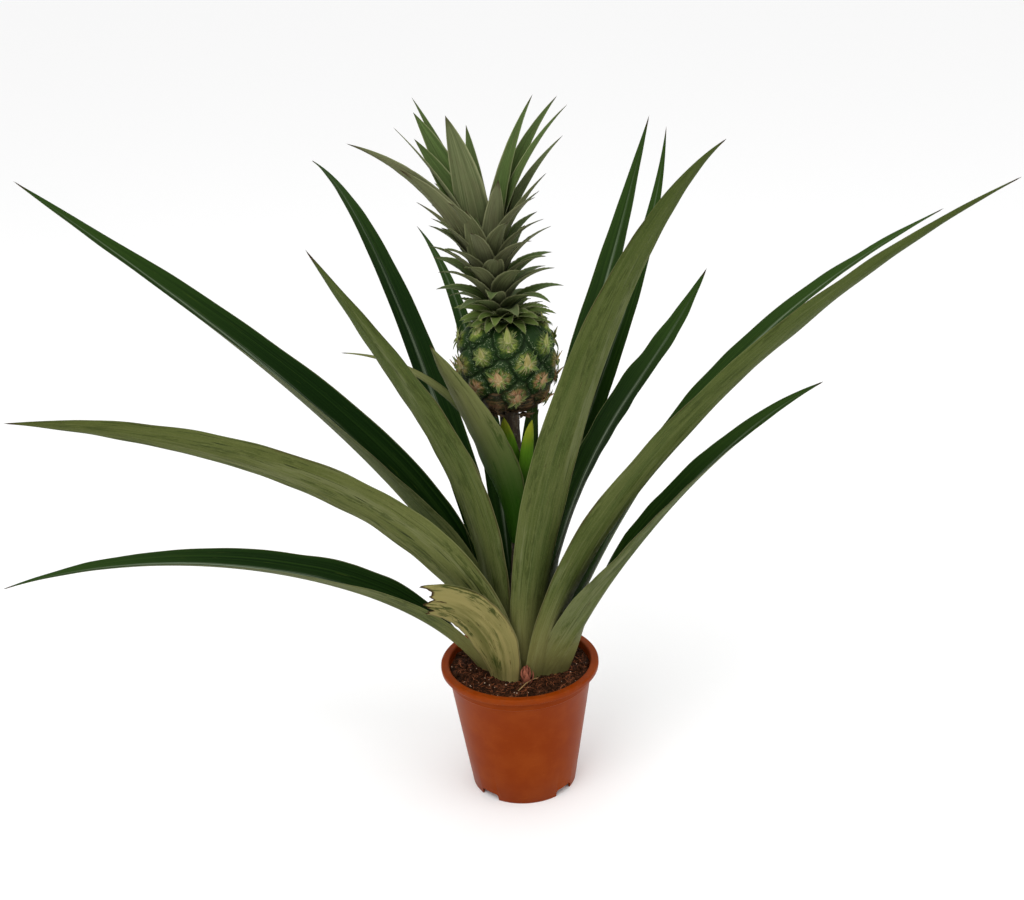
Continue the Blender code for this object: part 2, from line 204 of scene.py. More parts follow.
TOP_LEAVES = (
    TopLeaf(186, 0.045, 0.120, 64, 22, 0.023, 50, 0.15, 1.5),
    TopLeaf(195, 0.040, 0.088, 68, 38, 0.020, 45, 0.05, 2.2),
    TopLeaf(178, 0.034, 0.066, 66, 34, 0.016, 30, 0.05, 1.8),
    TopLeaf(-140, 0.052, 0.096, 82, 70, 0.027, 35, 0.40, 2.6),
    TopLeaf(165, 0.056, 0.096, 72, 58, 0.023, -55, 0.95, 2.2),
    TopLeaf(178, 0.054, 0.083, 70, 54, 0.021, -60, 0.90, 2.0),
    TopLeaf(150, 0.058, 0.104, 70, 56, 0.013, -40, 0.80, 1.6),
    TopLeaf(187, 0.056, 0.096, 66, 48, 0.009, 20, 0.50, 1.6),
    TopLeaf(112, 0.056, 0.078, 80, 70, 0.017, -20, 0.80, 2.0),
    TopLeaf(-6, 0.055, 0.104, 83, 62, 0.020, 55, 0.40, 1.35),
    TopLeaf(6, 0.055, 0.108, 78, 48, 0.020, 55, 0.45, 1.3),
    TopLeaf(-16, 0.052, 0.112, 75, 44, 0.018, 40, 0.30, 1.2),
    TopLeaf(12, 0.048, 0.092, 70, 40, 0.015, 40, 0.35, 1.2),
    TopLeaf(-22, 0.044, 0.073, 68, 44, 0.015, -20, 0.20, 1.4),
    TopLeaf(-62, 0.040, 0.064, 80, 72, 0.019, -20, 0.15, 2.6),
    TopLeaf(-120, 0.030, 0.058, 72, 64, 0.021, 15, 0.10, 2.6),
    TopLeaf(40, 0.046, 0.074, 62, 36, 0.014, 0, 0.40, 1.6),
    TopLeaf(68, 0.046, 0.062, 56, 18, 0.015, 0, 0.40, 1.6),
    TopLeaf(98, 0.048, 0.058, 56, 14, 0.015, 0, 0.40, 1.6),
    TopLeaf(128, 0.044, 0.068, 58, 22, 0.016, 0, 0.40, 1.6),
    TopLeaf(150, 0.040, 0.078, 60, 26, 0.015, 0, 0.20, 1.6),
)

# Colours of small marks.
RIM_DUST = (0.20, 0.09, 0.045)
MOSS = (0.034, 0.060, 0.010)
CHALK = (0.165, 0.180, 0.085)
VEIN = (0.150, 0.166, 0.070)
HEART = (0.070, 0.078, 0.016)
SCRATCH = (0.018, 0.026, 0.006)
BRUISE = (0.034, 0.048, 0.008)
CREAM = (0.380, 0.390, 0.160)
BRACT_FOOT = (0.024, 0.085, 0.004)
BROWN_BLUSH = (0.085, 0.066, 0.036)
BROWN_SPOT = (0.050, 0.034, 0.016)
SILVER = (0.200, 0.205, 0.120)
COLLAR_GREEN = (0.150, 0.215, 0.045)
CROWN_EDGE = (0.30, 0.31, 0.16)
# Near-black of the grooves: their own dark green, deepened with painted shade.
GROOVE_AND_SHADE = (0.005, 0.013, 0.002)
GLINT = (0.40, 0.46, 0.28)
SCURF = (0.30, 0.29, 0.22)


def colour_prop(name, description, default):
    return bpy.props.FloatVectorProperty(
        name=name, description=description, default=default, size=3, min=0, max=1, subtype="COLOR"
    )


def length_prop(name, description, default):
    return bpy.props.FloatProperty(
        name=name, description=description, default=default, min=0, unit="LENGTH",
        subtype="DISTANCE",
    )


def count_prop(name, description, default, least=0):
    return bpy.props.IntProperty(name=name, description=description, default=default, min=least)


def strength_prop(name, description, default, unit="NONE"):
    return bpy.props.FloatProperty(
        name=name, description=description, default=default, min=0, unit=unit
    )


class PotSettings(bpy.types.PropertyGroup):
    """Sizes and colours of the pot."""

    rim_radius: length_prop("Rim radius", "Outside of the rolled lip", POT_HIGH.x)
    height: length_prop("Height", "From the feet to the rim", POT_HIGH.z)
    lip_height: length_prop("Lip height", "Depth of the rolled lip", 0.0045)
    wall: length_prop("Wall", "Thickness of the plastic", 0.0014)
    steps: count_prop("Steps", "Faces round the pot", 144, 24)
    plastic: colour_prop("Plastic", "Colour of the pot's plastic", (0.215, 0.030, 0.0006))
    worn: colour_prop("Worn plastic", "Colour where it is scuffed", (0.370, 0.085, 0.012))


class SoilSettings(bpy.types.PropertyGroup):
    """The potting mix and what lies on it."""

    crumbs: count_prop("Crumbs", "Number of loose crumbs", 700)
    fibres: count_prop("Fibres", "Number of loose fibres", 420)
    specks: count_prop("Specks", "Number of pale specks", 110)
    soil: colour_prop("Soil", "Colour of the damp mix", (0.038, 0.013, 0.0045))
    fibre: colour_prop("Fibre", "Colour of the coir fibres", (0.23, 0.075, 0.032))
    speck: colour_prop("Speck", "Colour of the pale specks", (0.50, 0.36, 0.26))


class LeafSettings(bpy.types.PropertyGroup):
    """The long leaves and the bracts."""

    across: count_prop("Faces across", "Faces across a leaf", 20, 4)
    along: count_prop("Faces along", "Faces along a leaf", 130, 16)
    upper: colour_prop("Upper side", "Dark green of the upper side", (0.0018, 0.0125, 0.0010))
    # The midrib's silvery streak is a painted highlight: a reflection of the light along the
    # midrib.
    midrib_highlight: colour_prop("Midrib", "Silvery streak on the upper side", (0.240, 0.290, 0.200))
    fresh: colour_prop("Fresh green", "Green of young growth", (0.044, 0.092, 0.014))
    bloom: colour_prop("Bloom", "Waxy grey-green of the underside", (0.086, 0.104, 0.028))
    olive: colour_prop("Olive", "The underside towards the tip", (0.046, 0.072, 0.010))
    dry: colour_prop("Dry", "Straw of a dry leaf", (0.290, 0.245, 0.088))
    stain: colour_prop("Stain", "Brown of stains and dry margins", (0.042, 0.024, 0.009))
    margin: colour_prop("Margin", "Thin line along the margins", (0.170, 0.180, 0.075))


class FruitSettings(bpy.types.PropertyGroup):
    """The fruit and its eyes."""

    eyes: count_prop("Eyes", "Number of eyes on the spiral", 35, 8)
    eye_height: length_prop("Eye height", "How far an eye stands out of the grooves", 0.0036)
    sepals: count_prop("Sepals", "Sepals round each eye", 8)
    hairs: count_prop("Hairs", "Hairs round each eye", 30)
    skin: colour_prop("Skin", "Dark green between the eyes", (0.010, 0.032, 0.004))
    eye: colour_prop("Eye", "Yellow-green of the upper eyes", (0.26, 0.33, 0.060))
    blush: colour_prop("Blush", "Pinkish tan of the lower eyes", (0.52, 0.25, 0.13))
    husk: colour_prop("Husk", "Brown of the dry husks", (0.060, 0.034, 0.016))


class CrownSettings(bpy.types.PropertyGroup):
    """The crown of leaves on the fruit."""

    collar: count_prop("Collar", "Short leaves that lie on the fruit", 32)
    leaves: count_prop("Lower leaves", "Leaves below the long ones", 42)
    lean: length_prop("Lean", "How far the crown's axis moves to the left", 0.011)
    grey: colour_prop("Grey", "Grey-green of the undersides", (0.112, 0.120, 0.056))
    green: colour_prop("Green", "Green of the inner sides", (0.078, 0.122, 0.034))
    tip: colour_prop("Tip", "Brown of the dry tips", (0.040, 0.023, 0.010))


class StageSettings(bpy.types.PropertyGroup):
    """Floor, light and camera."""

    floor: colour_prop("Floor", "Colour of the floor", (0.98, 0.98, 0.98))
    sky: strength_prop("Sky", "Strength of the light from above", 1.20)
    horizon: strength_prop("Horizon", "Strength of the light from the sides", 0.22)
    key: strength_prop("Key light", "Power of the main lamp", 14.0, "POWER")
    fill: strength_prop("Fill light", "Power of the fill lamp", 5.0, "POWER")


class Value:
    """A shader socket that takes part in sums: each operator adds a Math node."""

    def __init__(self, finish, socket):
        self.finish, self.socket = finish, socket

    def __add__(self, other):
        return self.finish.math("ADD", self, other)

    __radd__ = __add__

    def __sub__(self, other):
        return self.finish.math("SUBTRACT", self, other)

    def __rsub__(self, other):
        return self.finish.math("SUBTRACT", other, self)

    def __mul__(self, other):
        return self.finish.math("MULTIPLY", self, other)

    __rmul__ = __mul__

    def __pow__(self, other):
        return self.finish.math("POWER", self, other)

    def __abs__(self):
        return self.finish.math("ABSOLUTE", self)

    def between(self, low, high, start=0.0, end=1.0):
        """A smooth step from start, at low, to end, at high."""
        sockets = {0: self, 1: low, 2: high, 3: start, 4: end}
        return self.finish.node("MapRange", {"interpolation_type": "SMOOTHSTEP"}, sockets)

    def fading(self, low, high):
        """A smooth step from 1 at low to 0 at high."""
        return self.between(low, high, 1.0, 0.0)


class Finish:
    """A material in the making. Its methods add nodes and give back their outputs as values."""

    def __init__(self, name, roughness=0.5, specular=0.5):
        self.material = bpy.data.materials.new(name)
        self.material.use_nodes = True
        self.tree = self.material.node_tree
        self.shader = self.tree.nodes["Principled BSDF"]
        self.set("Roughness", roughness)
        self.set("Specular IOR Level", specular)

    def node(self, kind, settings=None, sockets=None, out=0):
        made = self.tree.nodes.new("ShaderNode" + kind)
        for key, value in (settings or {}).items():
            setattr(made, key, value)
        for key, value in (sockets or {}).items():
            self.feed(made.inputs[key], value)
        return Value(self, made.outputs[out])

    def feed(self, socket, value):
        if isinstance(value, Value):
            self.tree.links.new(value.socket, socket)
        elif socket.type == "RGBA":
            socket.default_value = (*value[:3], 1)
        else:
            socket.default_value = value

    def set(self, name, value):
        self.feed(self.shader.inputs[name], value)

    def math(self, operation, *values):
        return self.node("Math", {"operation": operation}, dict(enumerate(values)))

    def mix(self, share, low, high):
        """A colour between two, by a share from 0 to 1."""
        settings = {"data_type": "RGBA", "clamp_factor": True}
        return self.node("Mix", settings, {0: share, 6: low, 7: high}, out=2)

    def coat(self, share, colour):
        """Lays a colour over what is there, by a share from 0 to 1."""
        self.colour = self.mix(share, self.colour, colour)

    def split(self, vector):
        """The three numbers of a vector."""
        first = self.node("SeparateXYZ", None, {0: vector})
        return [Value(self, output) for output in first.socket.node.outputs]

    def attribute(self, name):
        """The three values of one of the piece's own attributes."""
        return self.split(self.node("Attribute", {"attribute_name": name}, out=1))

    def place(self, scale=(1, 1, 1)):
        """The piece's object coordinates, scaled."""
        return self.node("Mapping", None, {0: self.node("TexCoord", out=3), 3: scale})

    def join(self, x, y, z=0.0):
        return self.node("CombineXYZ", None, {0: x, 1: y, 2: z})

    def noise(self, vector, scale=1.0, detail=2.0, rough=0.5, warp=0.0):
        sockets = {"Vector": vector, "Scale": scale, "Detail": detail, "Roughness": rough}
        return self.node("TexNoise", None, {**sockets, "Distortion": warp})

    def sealed(self, roughness, height, depth, strength=1.0):
        """The finished material: its colour, its roughness, and a relief of a depth in metres."""
        self.set("Base Color", self.colour)
        self.set("Roughness", roughness)
        relief = {"Strength": strength, "Distance": depth, "Height": height}
        self.set("Normal", self.node("Bump", None, relief))
        return self.material


class BladeFinish(Finish):
    """A finish for blades, which reads the values that their points carry.

    u runs across the blade from -1 to 1 and side is its distance from the midrib. t runs along it
    from 0 to 1, and run in metres.
    """

    def __init__(self, name, roughness=0.5, specular=0.5):
        super().__init__(name, roughness, specular)
        self.u, self.t, self.run = self.attribute("blade")
        self.seed, self.tone, self.dry = self.attribute("leaf")
        self.side = abs(self.u)

    def streaks(self, across, along, shift, detail=2.0, rough=0.5, warp=0.0):
        """Noise drawn out along the blade, which differs from leaf to leaf."""
        spot = self.join(self.u * across, self.run * along, self.seed * shift)
        return self.noise(spot, 1, detail, rough, warp)


def pot_plastic(own):
    """Moulded plastic with a faint grain, scuffs and dust near the rim."""
    finish = Finish("pot_plastic", specular=0.05)
    spot = finish.place()
    mottle = finish.noise(spot, 38, 4, 0.6)
    scuff = finish.noise(finish.place((160, 160, 900)), 1, 3, 0.6).between(0.60, 0.78)
    dust = finish.split(spot)[2].between(POT_HIGH.z - 0.012, POT_HIGH.z)
    dust = dust * finish.noise(spot, 120, 4, 0.7).between(0.45, 0.75)
    finish.colour = own.plastic
    finish.coat(mottle.between(0.35, 0.7) * 0.22 + scuff * 0.25, own.worn)
    finish.coat(dust * 0.22, RIM_DUST)
    grain = finish.noise(spot, 1400, 2)
    return finish.sealed(mottle * 0.16 + scuff * 0.15 + 0.30, grain * 0.5 + mottle, 0.00012, 0.6)


def potting_mix(own):
    """Damp, crumbly potting mix."""
    finish = Finish("potting_mix", specular=0.1)
    spot = finish.place()
    lumps = finish.node("TexVoronoi", None, {"Vector": spot, "Scale": 420})
    fine = finish.noise(spot, 900, 5, 0.7)
    patches = finish.noise(spot, 90, 3)
    finish.colour = own.soil * 0.25
    finish.coat(fine.between(0.35, 0.7), own.soil * 1.1)
    finish.coat(patches.between(0.42, 0.62) * fine.between(0.46, 0.60) * 0.8, own.fibre)
    return finish.sealed(patches * 0.3 + 0.65, lumps + fine * 0.8, 0.0008)


def loose_matter(name, colour, spread=0.5):
    """Crumbs, fibres and specks, each of its own shade."""
    finish = BladeFinish(name, specular=0.1)
    fine = finish.noise(finish.place(), 1600, 3, 0.6)
    colour = Color(colour)
    finish.colour = finish.mix(finish.seed * spread + fine * 0.6, colour * 0.45, colour * 1.6)
    return finish.sealed(fine * 0.3 + 0.6, fine, 0.0003)


def leaf_upper(own):
    """The smooth dark side of a leaf: veins, a painted highlight along the midrib, a thin margin
    and a dry tip.
    """
    finish = BladeFinish("leaf_upper", specular=0.03)
    t, tone, side = finish.t, finish.tone, finish.side
    veins = finish.streaks(30, 4, 60, 3, 0.6)
    broad = finish.streaks(2.2, 14, 37, 4, 0.6)
    marks = finish.streaks(13, 42, 91).between(0.66, 0.74)
    # Painted highlight: a silvery reflection streak along the midrib.
    midrib_highlight = abs(finish.u + (broad - 0.5) * 0.3).fading(0.0, 0.20)
    midrib_highlight = midrib_highlight * veins.between(0.38, 0.60) * t.between(0.1, 0.3) * (1 - t**3)
    scorch = (t + (broad - 0.5) * 0.03).between(0.972, 0.992)
    finish.colour = own.upper
    finish.coat(t.between(0.55, 1.0) * 0.40 + tone**1.5 * 0.38, own.fresh)
    finish.coat(veins.between(0.50, 0.66) * (tone * 0.22 + 0.06), own.fresh * 1.25)
    finish.coat(veins.fading(0.34, 0.48) * 0.5, own.upper * 0.4)
    finish.coat(midrib_highlight * 0.80, own.midrib_highlight)
    finish.coat(broad.between(0.60, 0.80) * 0.08, own.bloom)
    finish.coat(marks * 0.35, own.olive)
    finish.coat(finish.dry.between(0.3, 1.0) * (veins * 0.5 + 0.6), own.dry)
    finish.coat(t.fading(0.01, 0.10) * 0.5, own.dry)
    finish.coat(side.between(0.960, 0.985) * 0.6, own.margin)
    finish.coat(scorch, own.stain)
    roughness = broad * 0.22 + veins * 0.10 + scorch * 0.2 + 0.26
    return finish.sealed(roughness, veins + side.fading(0.0, 0.10) * -0.8, 0.00022)


def leaf_under(own, name="leaf_under", foot=None, pale=0.0):
    """The waxy underside of a leaf: fine parallel veins, streaks, stains, bruises and scratches."""
    finish = BladeFinish(name, specular=0.05)
    t, tone, dry, side = finish.t, finish.tone, finish.dry, finish.side
    veins = finish.streaks(34, 4, 60, 3, 0.65)
    broad = finish.streaks(2.6, 11, 23, 5, 0.62)
    fleck = finish.streaks(9, 55, 71, 3, 0.7)
    scratch = finish.streaks(20, 26, 17, 2, 0.5, 0.6)
    patch = finish.streaks(1.3, 6, 47, 5, 0.7)
    grain = finish.streaks(30, 700, 3)
    bruise = finish.streaks(2.2, 16, 53).between(0.50, 0.62)
    bruise = bruise * finish.streaks(9, 70, 5, 4, 0.7).between(0.46, 0.56)
    heart = dry.between(0.8, 1.0) * side.fading(0.2, 0.9) * t.fading(0.5, 1.0)
    finish.colour = own.bloom
    finish.coat(t.between(0.25, 1.0) * 0.75 + tone * 0.30 - 0.05, own.olive)
    finish.coat(broad.between(0.46, 0.62) * (tone * 0.4 + 0.45), own.olive * 0.85)
    finish.coat(patch.between(0.52, 0.66) * 0.55, MOSS)
    finish.coat(patch.fading(0.34, 0.46) * 0.45, CHALK)
    finish.coat(veins.between(0.50, 0.68) * 0.28, VEIN)
    finish.coat(veins.fading(0.32, 0.48) * 0.32, own.olive * 0.6)
    finish.coat(grain.between(0.50, 0.70) * 0.22, own.bloom * 1.9)
    finish.coat(tone.between(0.6, 1.0) * 0.65, own.fresh)
    finish.coat(dry.between(0.0, 1.1) * (broad * 0.6 + 0.5), own.dry)
    finish.coat(heart * patch.between(0.40, 0.56) * 0.8, HEART)
    finish.coat(scratch.between(0.62, 0.66) * (dry * (1 - dry) * 4 + 0.15), SCRATCH)
    finish.coat(fleck.between(0.63, 0.72) * (dry * 0.8 + 0.40), own.stain)
    finish.coat(pale * (1.25 - patch), CREAM)
    finish.coat(bruise * (0.60 + dry * 0.30), BRUISE)
    if foot:
        finish.coat(t.fading(0.10, 0.70) * (0.8 + 0.4 * veins), foot)
    else:
        finish.coat(t.fading(0.02, 0.20) * 0.45, own.dry)
    finish.coat(side.between(0.90, 0.97) * broad.between(0.45, 0.60) * 0.7, own.stain)
    finish.coat(side.between(0.965, 0.99) * 0.6, own.margin)
    finish.coat((t + (broad - 0.5) * 0.03).between(0.970, 0.992), own.stain)
    return finish.sealed(broad * 0.25 + 0.42, veins + broad * 0.6, 0.00026)


def bract_fresh_painted_backlight():
    """The thin tissue of the small bracts below the fruit: green with a yellow tip, its own colour
    painted bright with light that shines through it from behind.
    """
    finish = BladeFinish("bract_fresh_painted_backlight", specular=0.1)
    veins = finish.streaks(12, 20, 0, 3, 0.6)
    finish.colour = (0.010, 0.040, 0.004)
    # Painted light: the tissue brightens to yellow-green towards the tip, as if lit through from
    # behind, in place of the shade it sits in.
    finish.coat(finish.t.between(0.2, 0.6), (0.12, 0.28, 0.015))
    finish.coat(finish.t.between(0.55, 0.95) * 0.85, (0.50, 0.50, 0.035))
    finish.coat(veins.between(0.45, 0.65) * 0.5, (0.06, 0.16, 0.010))
    return finish.sealed(0.5, veins, 0.0002)


def crown_side(name, low, high, own, shine):
    """One side of a crown leaf: fine veins, a pale edge, a brown tip and painted shade towards the
    foot. The collar is fresher and has less painted shade.
    """
    finish = BladeFinish(name, specular=0.06)
    t, tone, seed, collar = finish.t, finish.tone, finish.seed, finish.dry
    veins = finish.streaks(15, 18, 60, 3, 0.6)
    broad = finish.streaks(1.6, 45, 31, 4, 0.6)
    spots = finish.streaks(6, 160, 11, 3, 0.7)
    finish.colour = low
    finish.coat(tone, high)
    finish.coat(broad.between(0.45, 0.70) * (0.5 - tone * 0.4), BROWN_BLUSH)
    finish.coat(veins.between(0.45, 0.70) * 0.40, low * 2.1)
    finish.coat(veins.fading(0.30, 0.46) * 0.35, high * 0.25)
    finish.coat(spots.between(0.62, 0.72) * 0.5, BROWN_SPOT)
    finish.coat(seed.between(0.3, 1.0) * 0.35, SILVER)
    finish.coat(collar * (0.35 + seed * 0.45), COLLAR_GREEN)
    # Painted shade: each leaf is darkened towards its foot, where the leaves round it cover it;
    # more on the grey leaves, less on the collar.
    shade = t.fading(0.05, 0.42) * (0.74 - tone * 0.35) * (1 - collar * 0.6)
    finish.coat(shade, low * 0.16)
    finish.coat(finish.side.between(0.82, 0.94) * (0.6 + collar * 0.3), CROWN_EDGE)
    finish.coat((t + (broad - 0.5) * 0.20 - tone * 0.05).between(0.86, 1.0) * 0.9, own.tip)
    return finish.sealed(broad * 0.2 + shine, veins + broad * 0.5, 0.00022)


def fruit_skin(own):
    """Eyes that pass from yellow-green above to tan and husky brown below, in dark grooves deepened
    with painted shade, with small painted glints.
    """
    finish = Finish("fruit_skin", specular=0.12)
    dx, dz, edge = finish.attribute("eye")
    share, seed, reach = finish.attribute("fruit")
    spot = finish.place()
    fine = finish.noise(spot, 700, 4, 0.65)
    broad = finish.noise(spot, 120, 3)
    rays = finish.join(finish.math("ARCTAN2", dz, dx) * 5.5, reach * 1.2, seed * 40)
    rays = finish.noise(rays, 1, 2)
    ripe = (1 - share + (broad - 0.5) * 0.5).between(0.25, 0.65)
    star = reach.fading(0.35, 0.95) * rays.between(0.46, 0.58)
    crest = (reach.fading(0.15, 0.85) * 0.75 + star * 0.65) * edge.between(0.02, 0.30)
    # The grooves' own dark green, deepened with painted shade where they sink between the eyes.
    groove_and_shade = edge + (finish.noise(spot, 420, 3, 0.6) - 0.5) * 0.7
    glint = finish.noise(spot, 1300, 1).between(0.58, 0.64)
    glint = glint * edge.between(0.25, 0.45) * edge.fading(0.6, 0.9)
    layers = finish.noise(finish.place((160, 160, 800)), 1, 4, 0.65)
    bark = finish.mix(layers.between(0.42, 0.62), (0.010, 0.008, 0.004), own.husk * 2.0)
    finish.colour = own.skin
    finish.coat(fine.between(0.44, 0.64) * reach.fading(0.3, 1.1), (0.150, 0.230, 0.030))
    finish.coat(crest, finish.mix(ripe, own.eye, own.blush))
    finish.coat(groove_and_shade.fading(0.0, 0.40) * 0.75, GROOVE_AND_SHADE)
    finish.coat(glint * 0.5, GLINT)
    finish.coat((share + (broad - 0.5) * 0.35).fading(0.06, 0.34) * 0.92, bark)
    return finish.sealed(fine * 0.25 + 0.35, rays * 0.8 + fine, 0.0005)


def husk_finish(own, name="fruit_husk", pale=0.0):
    """The papery bract over each eye: fresh above, tan and brown below, with a dry point."""
    finish = BladeFinish(name, specular=0.2)
    veins = finish.streaks(5, 120, 40, 3, 0.6)
    finish.colour = own.blush
    finish.coat(finish.tone.between(0.35, 0.85), own.eye)
    finish.coat(veins.between(0.40, 0.62) * 0.6, (0.66, 0.58, 0.30))
    finish.coat(pale * (0.6 + finish.seed * 0.6), (0.72, 0.70, 0.42))
    finish.coat(finish.dry, own.husk)
    finish.coat(finish.t.between(0.80, 1.0) * 0.85, own.husk)
    return finish.sealed(veins * 0.3 + 0.45, veins, 0.0003)


def sepal_finish(own):
    """The small sepals round an eye, fleshy at the centre and green with pale rims outside."""
    finish = BladeFinish("fruit_sepal", specular=0.2)
    veins = finish.streaks(4, 160, 40, 3, 0.6)
    lit = veins.between(0.40, 0.60)
    finish.colour = own.blush
    finish.coat((finish.tone + (finish.seed - 0.5) * 0.3).between(0.30, 0.75), own.eye)
    green = finish.mix(lit, (0.022, 0.070, 0.008), (0.120, 0.190, 0.030))
    finish.coat(finish.t.between(0.05, 0.50), green)
    finish.coat(finish.side.between(0.50, 0.95) * 0.5, (0.34, 0.38, 0.16))
    finish.coat(finish.dry, finish.mix(lit, (0.020, 0.012, 0.006), (0.22, 0.13, 0.07)))
    finish.coat(finish.t.between(0.85, 1.0) * 0.8, own.husk)
    return finish.sealed(veins * 0.3 + 0.4, veins, 0.0003)


def stalk_skin(name, low, high):
    """Brown stalk with a grey scurf in broken streaks."""
    finish = Finish(name)
    streak = finish.noise(finish.place((420, 420, 60)), 1, 4, 0.65)
    scurf = finish.noise(finish.place((260, 260, 180)), 1, 4, 0.7).between(0.50, 0.68)
    finish.colour = low
    finish.coat(streak.between(0.35, 0.7), high)
    finish.coat(scurf * 0.5, SCURF)
    return finish.sealed(streak * 0.25 + 0.6, streak + scurf * 0.6, 0.0006)


def tagged_mesh(tags=("blade", "leaf")):
    """A new bmesh whose points carry the attributes that the materials read."""
    bm = bmesh.new()
    for tag in tags:
        bm.verts.layers.float_vector.new(tag)
    return bm


def spun(outline, steps, closed=False):
    """A new bmesh: an outline of (radius, z) points, turned once round the Z axis."""
    bm = bmesh.new()
    points = [bm.verts.new((radius, 0, z)) for radius, z in outline]
    ends = points[1:] + points[:1] if closed else points[1:]
    edges = [bm.edges.new(pair) for pair in zip(points, ends)]
    bmesh.ops.spin(
        bm, geom=points + edges, cent=(0, 0, 0), axis=(0, 0, 1), angle=math.tau, steps=steps,
        use_merge=True,
    )
    bmesh.ops.remove_doubles(bm, verts=bm.verts, dist=1e-6)
    return bm


def make_object(name, bm, finishes=()):
    """Turns a bmesh into an object of the scene."""
    mesh = bpy.data.meshes.new(name)
    bm.to_mesh(mesh)
    bm.free()
    for material in finishes:
        mesh.materials.append(material)
    obj = bpy.data.objects.new(name, mesh)
    bpy.context.scene.collection.objects.link(obj)
    return obj


def finish_piece(name, bm, finishes, stands_for=(), crease=40):
    """Makes a bmesh a shown piece that rides on the plant, sharp at edges beyond the crease."""
    bmesh.ops.recalc_face_normals(bm, faces=bm.faces)
    for face in bm.faces:
        face.smooth = True
    limit = math.radians(crease)
    for edge in bm.edges:
        edge.smooth = not edge.is_manifold or edge.calc_face_angle() < limit
    obj = make_object(name, bm, finishes)
    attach(obj, "root")
    if stands_for:
        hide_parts(*stands_for)


def polar(turn):
    """The ways outwards and sideways at an angle round Z."""
    out = np.array([math.cos(turn), math.sin(turn), 0])
    return out, np.array([-out[1], out[0], 0])


def bezier(points, t):
    """Points on a cubic curve through the first and the last of four points."""
    a, b, c, d = points
    t = t[:, None]
    return a * (1 - t) ** 3 + 3 * b * t * (1 - t) ** 2 + 3 * c * t**2 * (1 - t) + d * t**3


def ripple(t, seed, rate):
    """A smooth wander between -1 and 1 along a leaf."""
    return np.array([noise.noise(Vector((seed * 13.7, share * rate, seed * 5.1))) for share in t])


def add_blade(
    bm, spine, side, half_width, cup, thick, cells, tags,
    twist=0.0, wave=0.0, teeth=0.0, roll=0.0, fold=0.0, torn=0.0,
):
    """Adds a channelled blade along a spine: an upper and a lower sheet, joined at the margins.

    half_width, cup (the angle of the margins, in radians) and thick are single numbers, or have one
    for each point of the spine. The upper sheet has material 0 and the lower one material 1.
    """
    rows = len(spine) - 1
    t = np.linspace(0, 1, rows + 1)
    half_width, cup, thick, _ = np.broadcast_arrays(half_width, cup, thick, t)
    tangent = np.gradient(spine, axis=0)
    tangent /= np.linalg.norm(tangent, axis=1)[:, None]
    run = np.concatenate([[0], np.cumsum(np.linalg.norm(np.diff(spine, axis=0), axis=1))])
    across, face = np.empty_like(spine), np.empty_like(spine)
    rolled_part, folding_part, crease_w = 0.40, 0.15, 0.25
    for k in range(rows + 1):
        side = side - tangent[k] * (side @ tangent[k])
        side /= np.linalg.norm(side)
        up = np.cross(tangent[k], side)
        turn = math.radians(twist * t[k] ** 0.8 + roll * max(0, 1 - t[k] / rolled_part) ** 1.2)
        across[k] = side * math.cos(turn) + up * math.sin(turn)
        face[k] = up * math.cos(turn) - side * math.sin(turn)

    # The section is summed up from the midrib outwards, in finer steps than the faces.
    fine = 8
    s = np.linspace(-1, 1, cells * fine + 1)
    crisp = (fold * np.clip(t / folding_part, 0, 1))[:, None]
    bend = cup[:, None] * ((1 - crisp) * s + crisp * np.clip(s / crease_w, -1, 1))

    def summed(slope):
        total = np.cumsum((slope[:, 1:] + slope[:, :-1]) / (cells * fine), axis=1)
        total = np.concatenate([np.zeros((rows + 1, 1)), total], axis=1)
        return (total - total[:, cells * fine // 2, None]) * half_width[:, None]

    flat, deep = summed(np.cos(bend)), summed(np.sin(bend))
    seed = tags[0]
    onset = np.clip(t / 0.2, 0, 1)
    sway = {sign: ripple(t, seed + sign, 9) * onset for sign in (-1, 1)}
    frill = {sign: ripple(t, seed + 3 + sign, 16) * onset for sign in (-1, 1)}
    layers = bm.verts.layers.float_vector
    blade_tag, leaf_tag = layers["blade"], layers["leaf"]
    made = []
    for layer in (1, -1):
        sheet = bmesh.ops.create_grid(bm, x_segments=cells, y_segments=rows, size=1)["verts"]
        for vert in sheet:
            u, k = vert.co.x, round((vert.co.y + 1) / 2 * rows)
            sign = 1 if u > 0 else -1
            pull = u * (1 + wave * sway[sign][k] * 25 * u * u)
            if abs(u) > 0.999 and k % 2 and k < rows - 1:
                pull += sign * teeth / max(half_width[k], 0.001)
            lift = wave * frill[sign][k] * u * u * min(1, half_width[k] / 0.008)
            body = layer * thick[k] / 2 * math.sqrt(max(0, 1 - u * u)) * (0 < k < rows)
            column = round((u + 1) / 2 * cells) * fine
            tilt, stretch = bend[k, column], pull / u if u else 1
            point = spine[k]
            if k < rows or torn:
                point = point + across[k] * (flat[k, column] * stretch - body * math.sin(tilt))
                point += face[k] * (deep[k, column] * stretch + body * math.cos(tilt) + lift)
                rip = noise.noise(Vector((u * 1.6, seed * 9, 0.4)))
                rip += 0.35 * noise.noise(Vector((u * 6, seed * 9, 2)))
                point += tangent[k] * torn * rip * max(0, (t[k] - 0.6) / 0.4) ** 2
            vert.co = point
            vert[blade_tag] = (u, t[k], run[k])
            vert[leaf_tag] = tags
        for part in {part for vert in sheet for part in vert.link_faces}:
            part.material_index = 0 if layer == 1 else 1
        made += sheet
    bmesh.ops.remove_doubles(bm, verts=made, dist=2e-6)


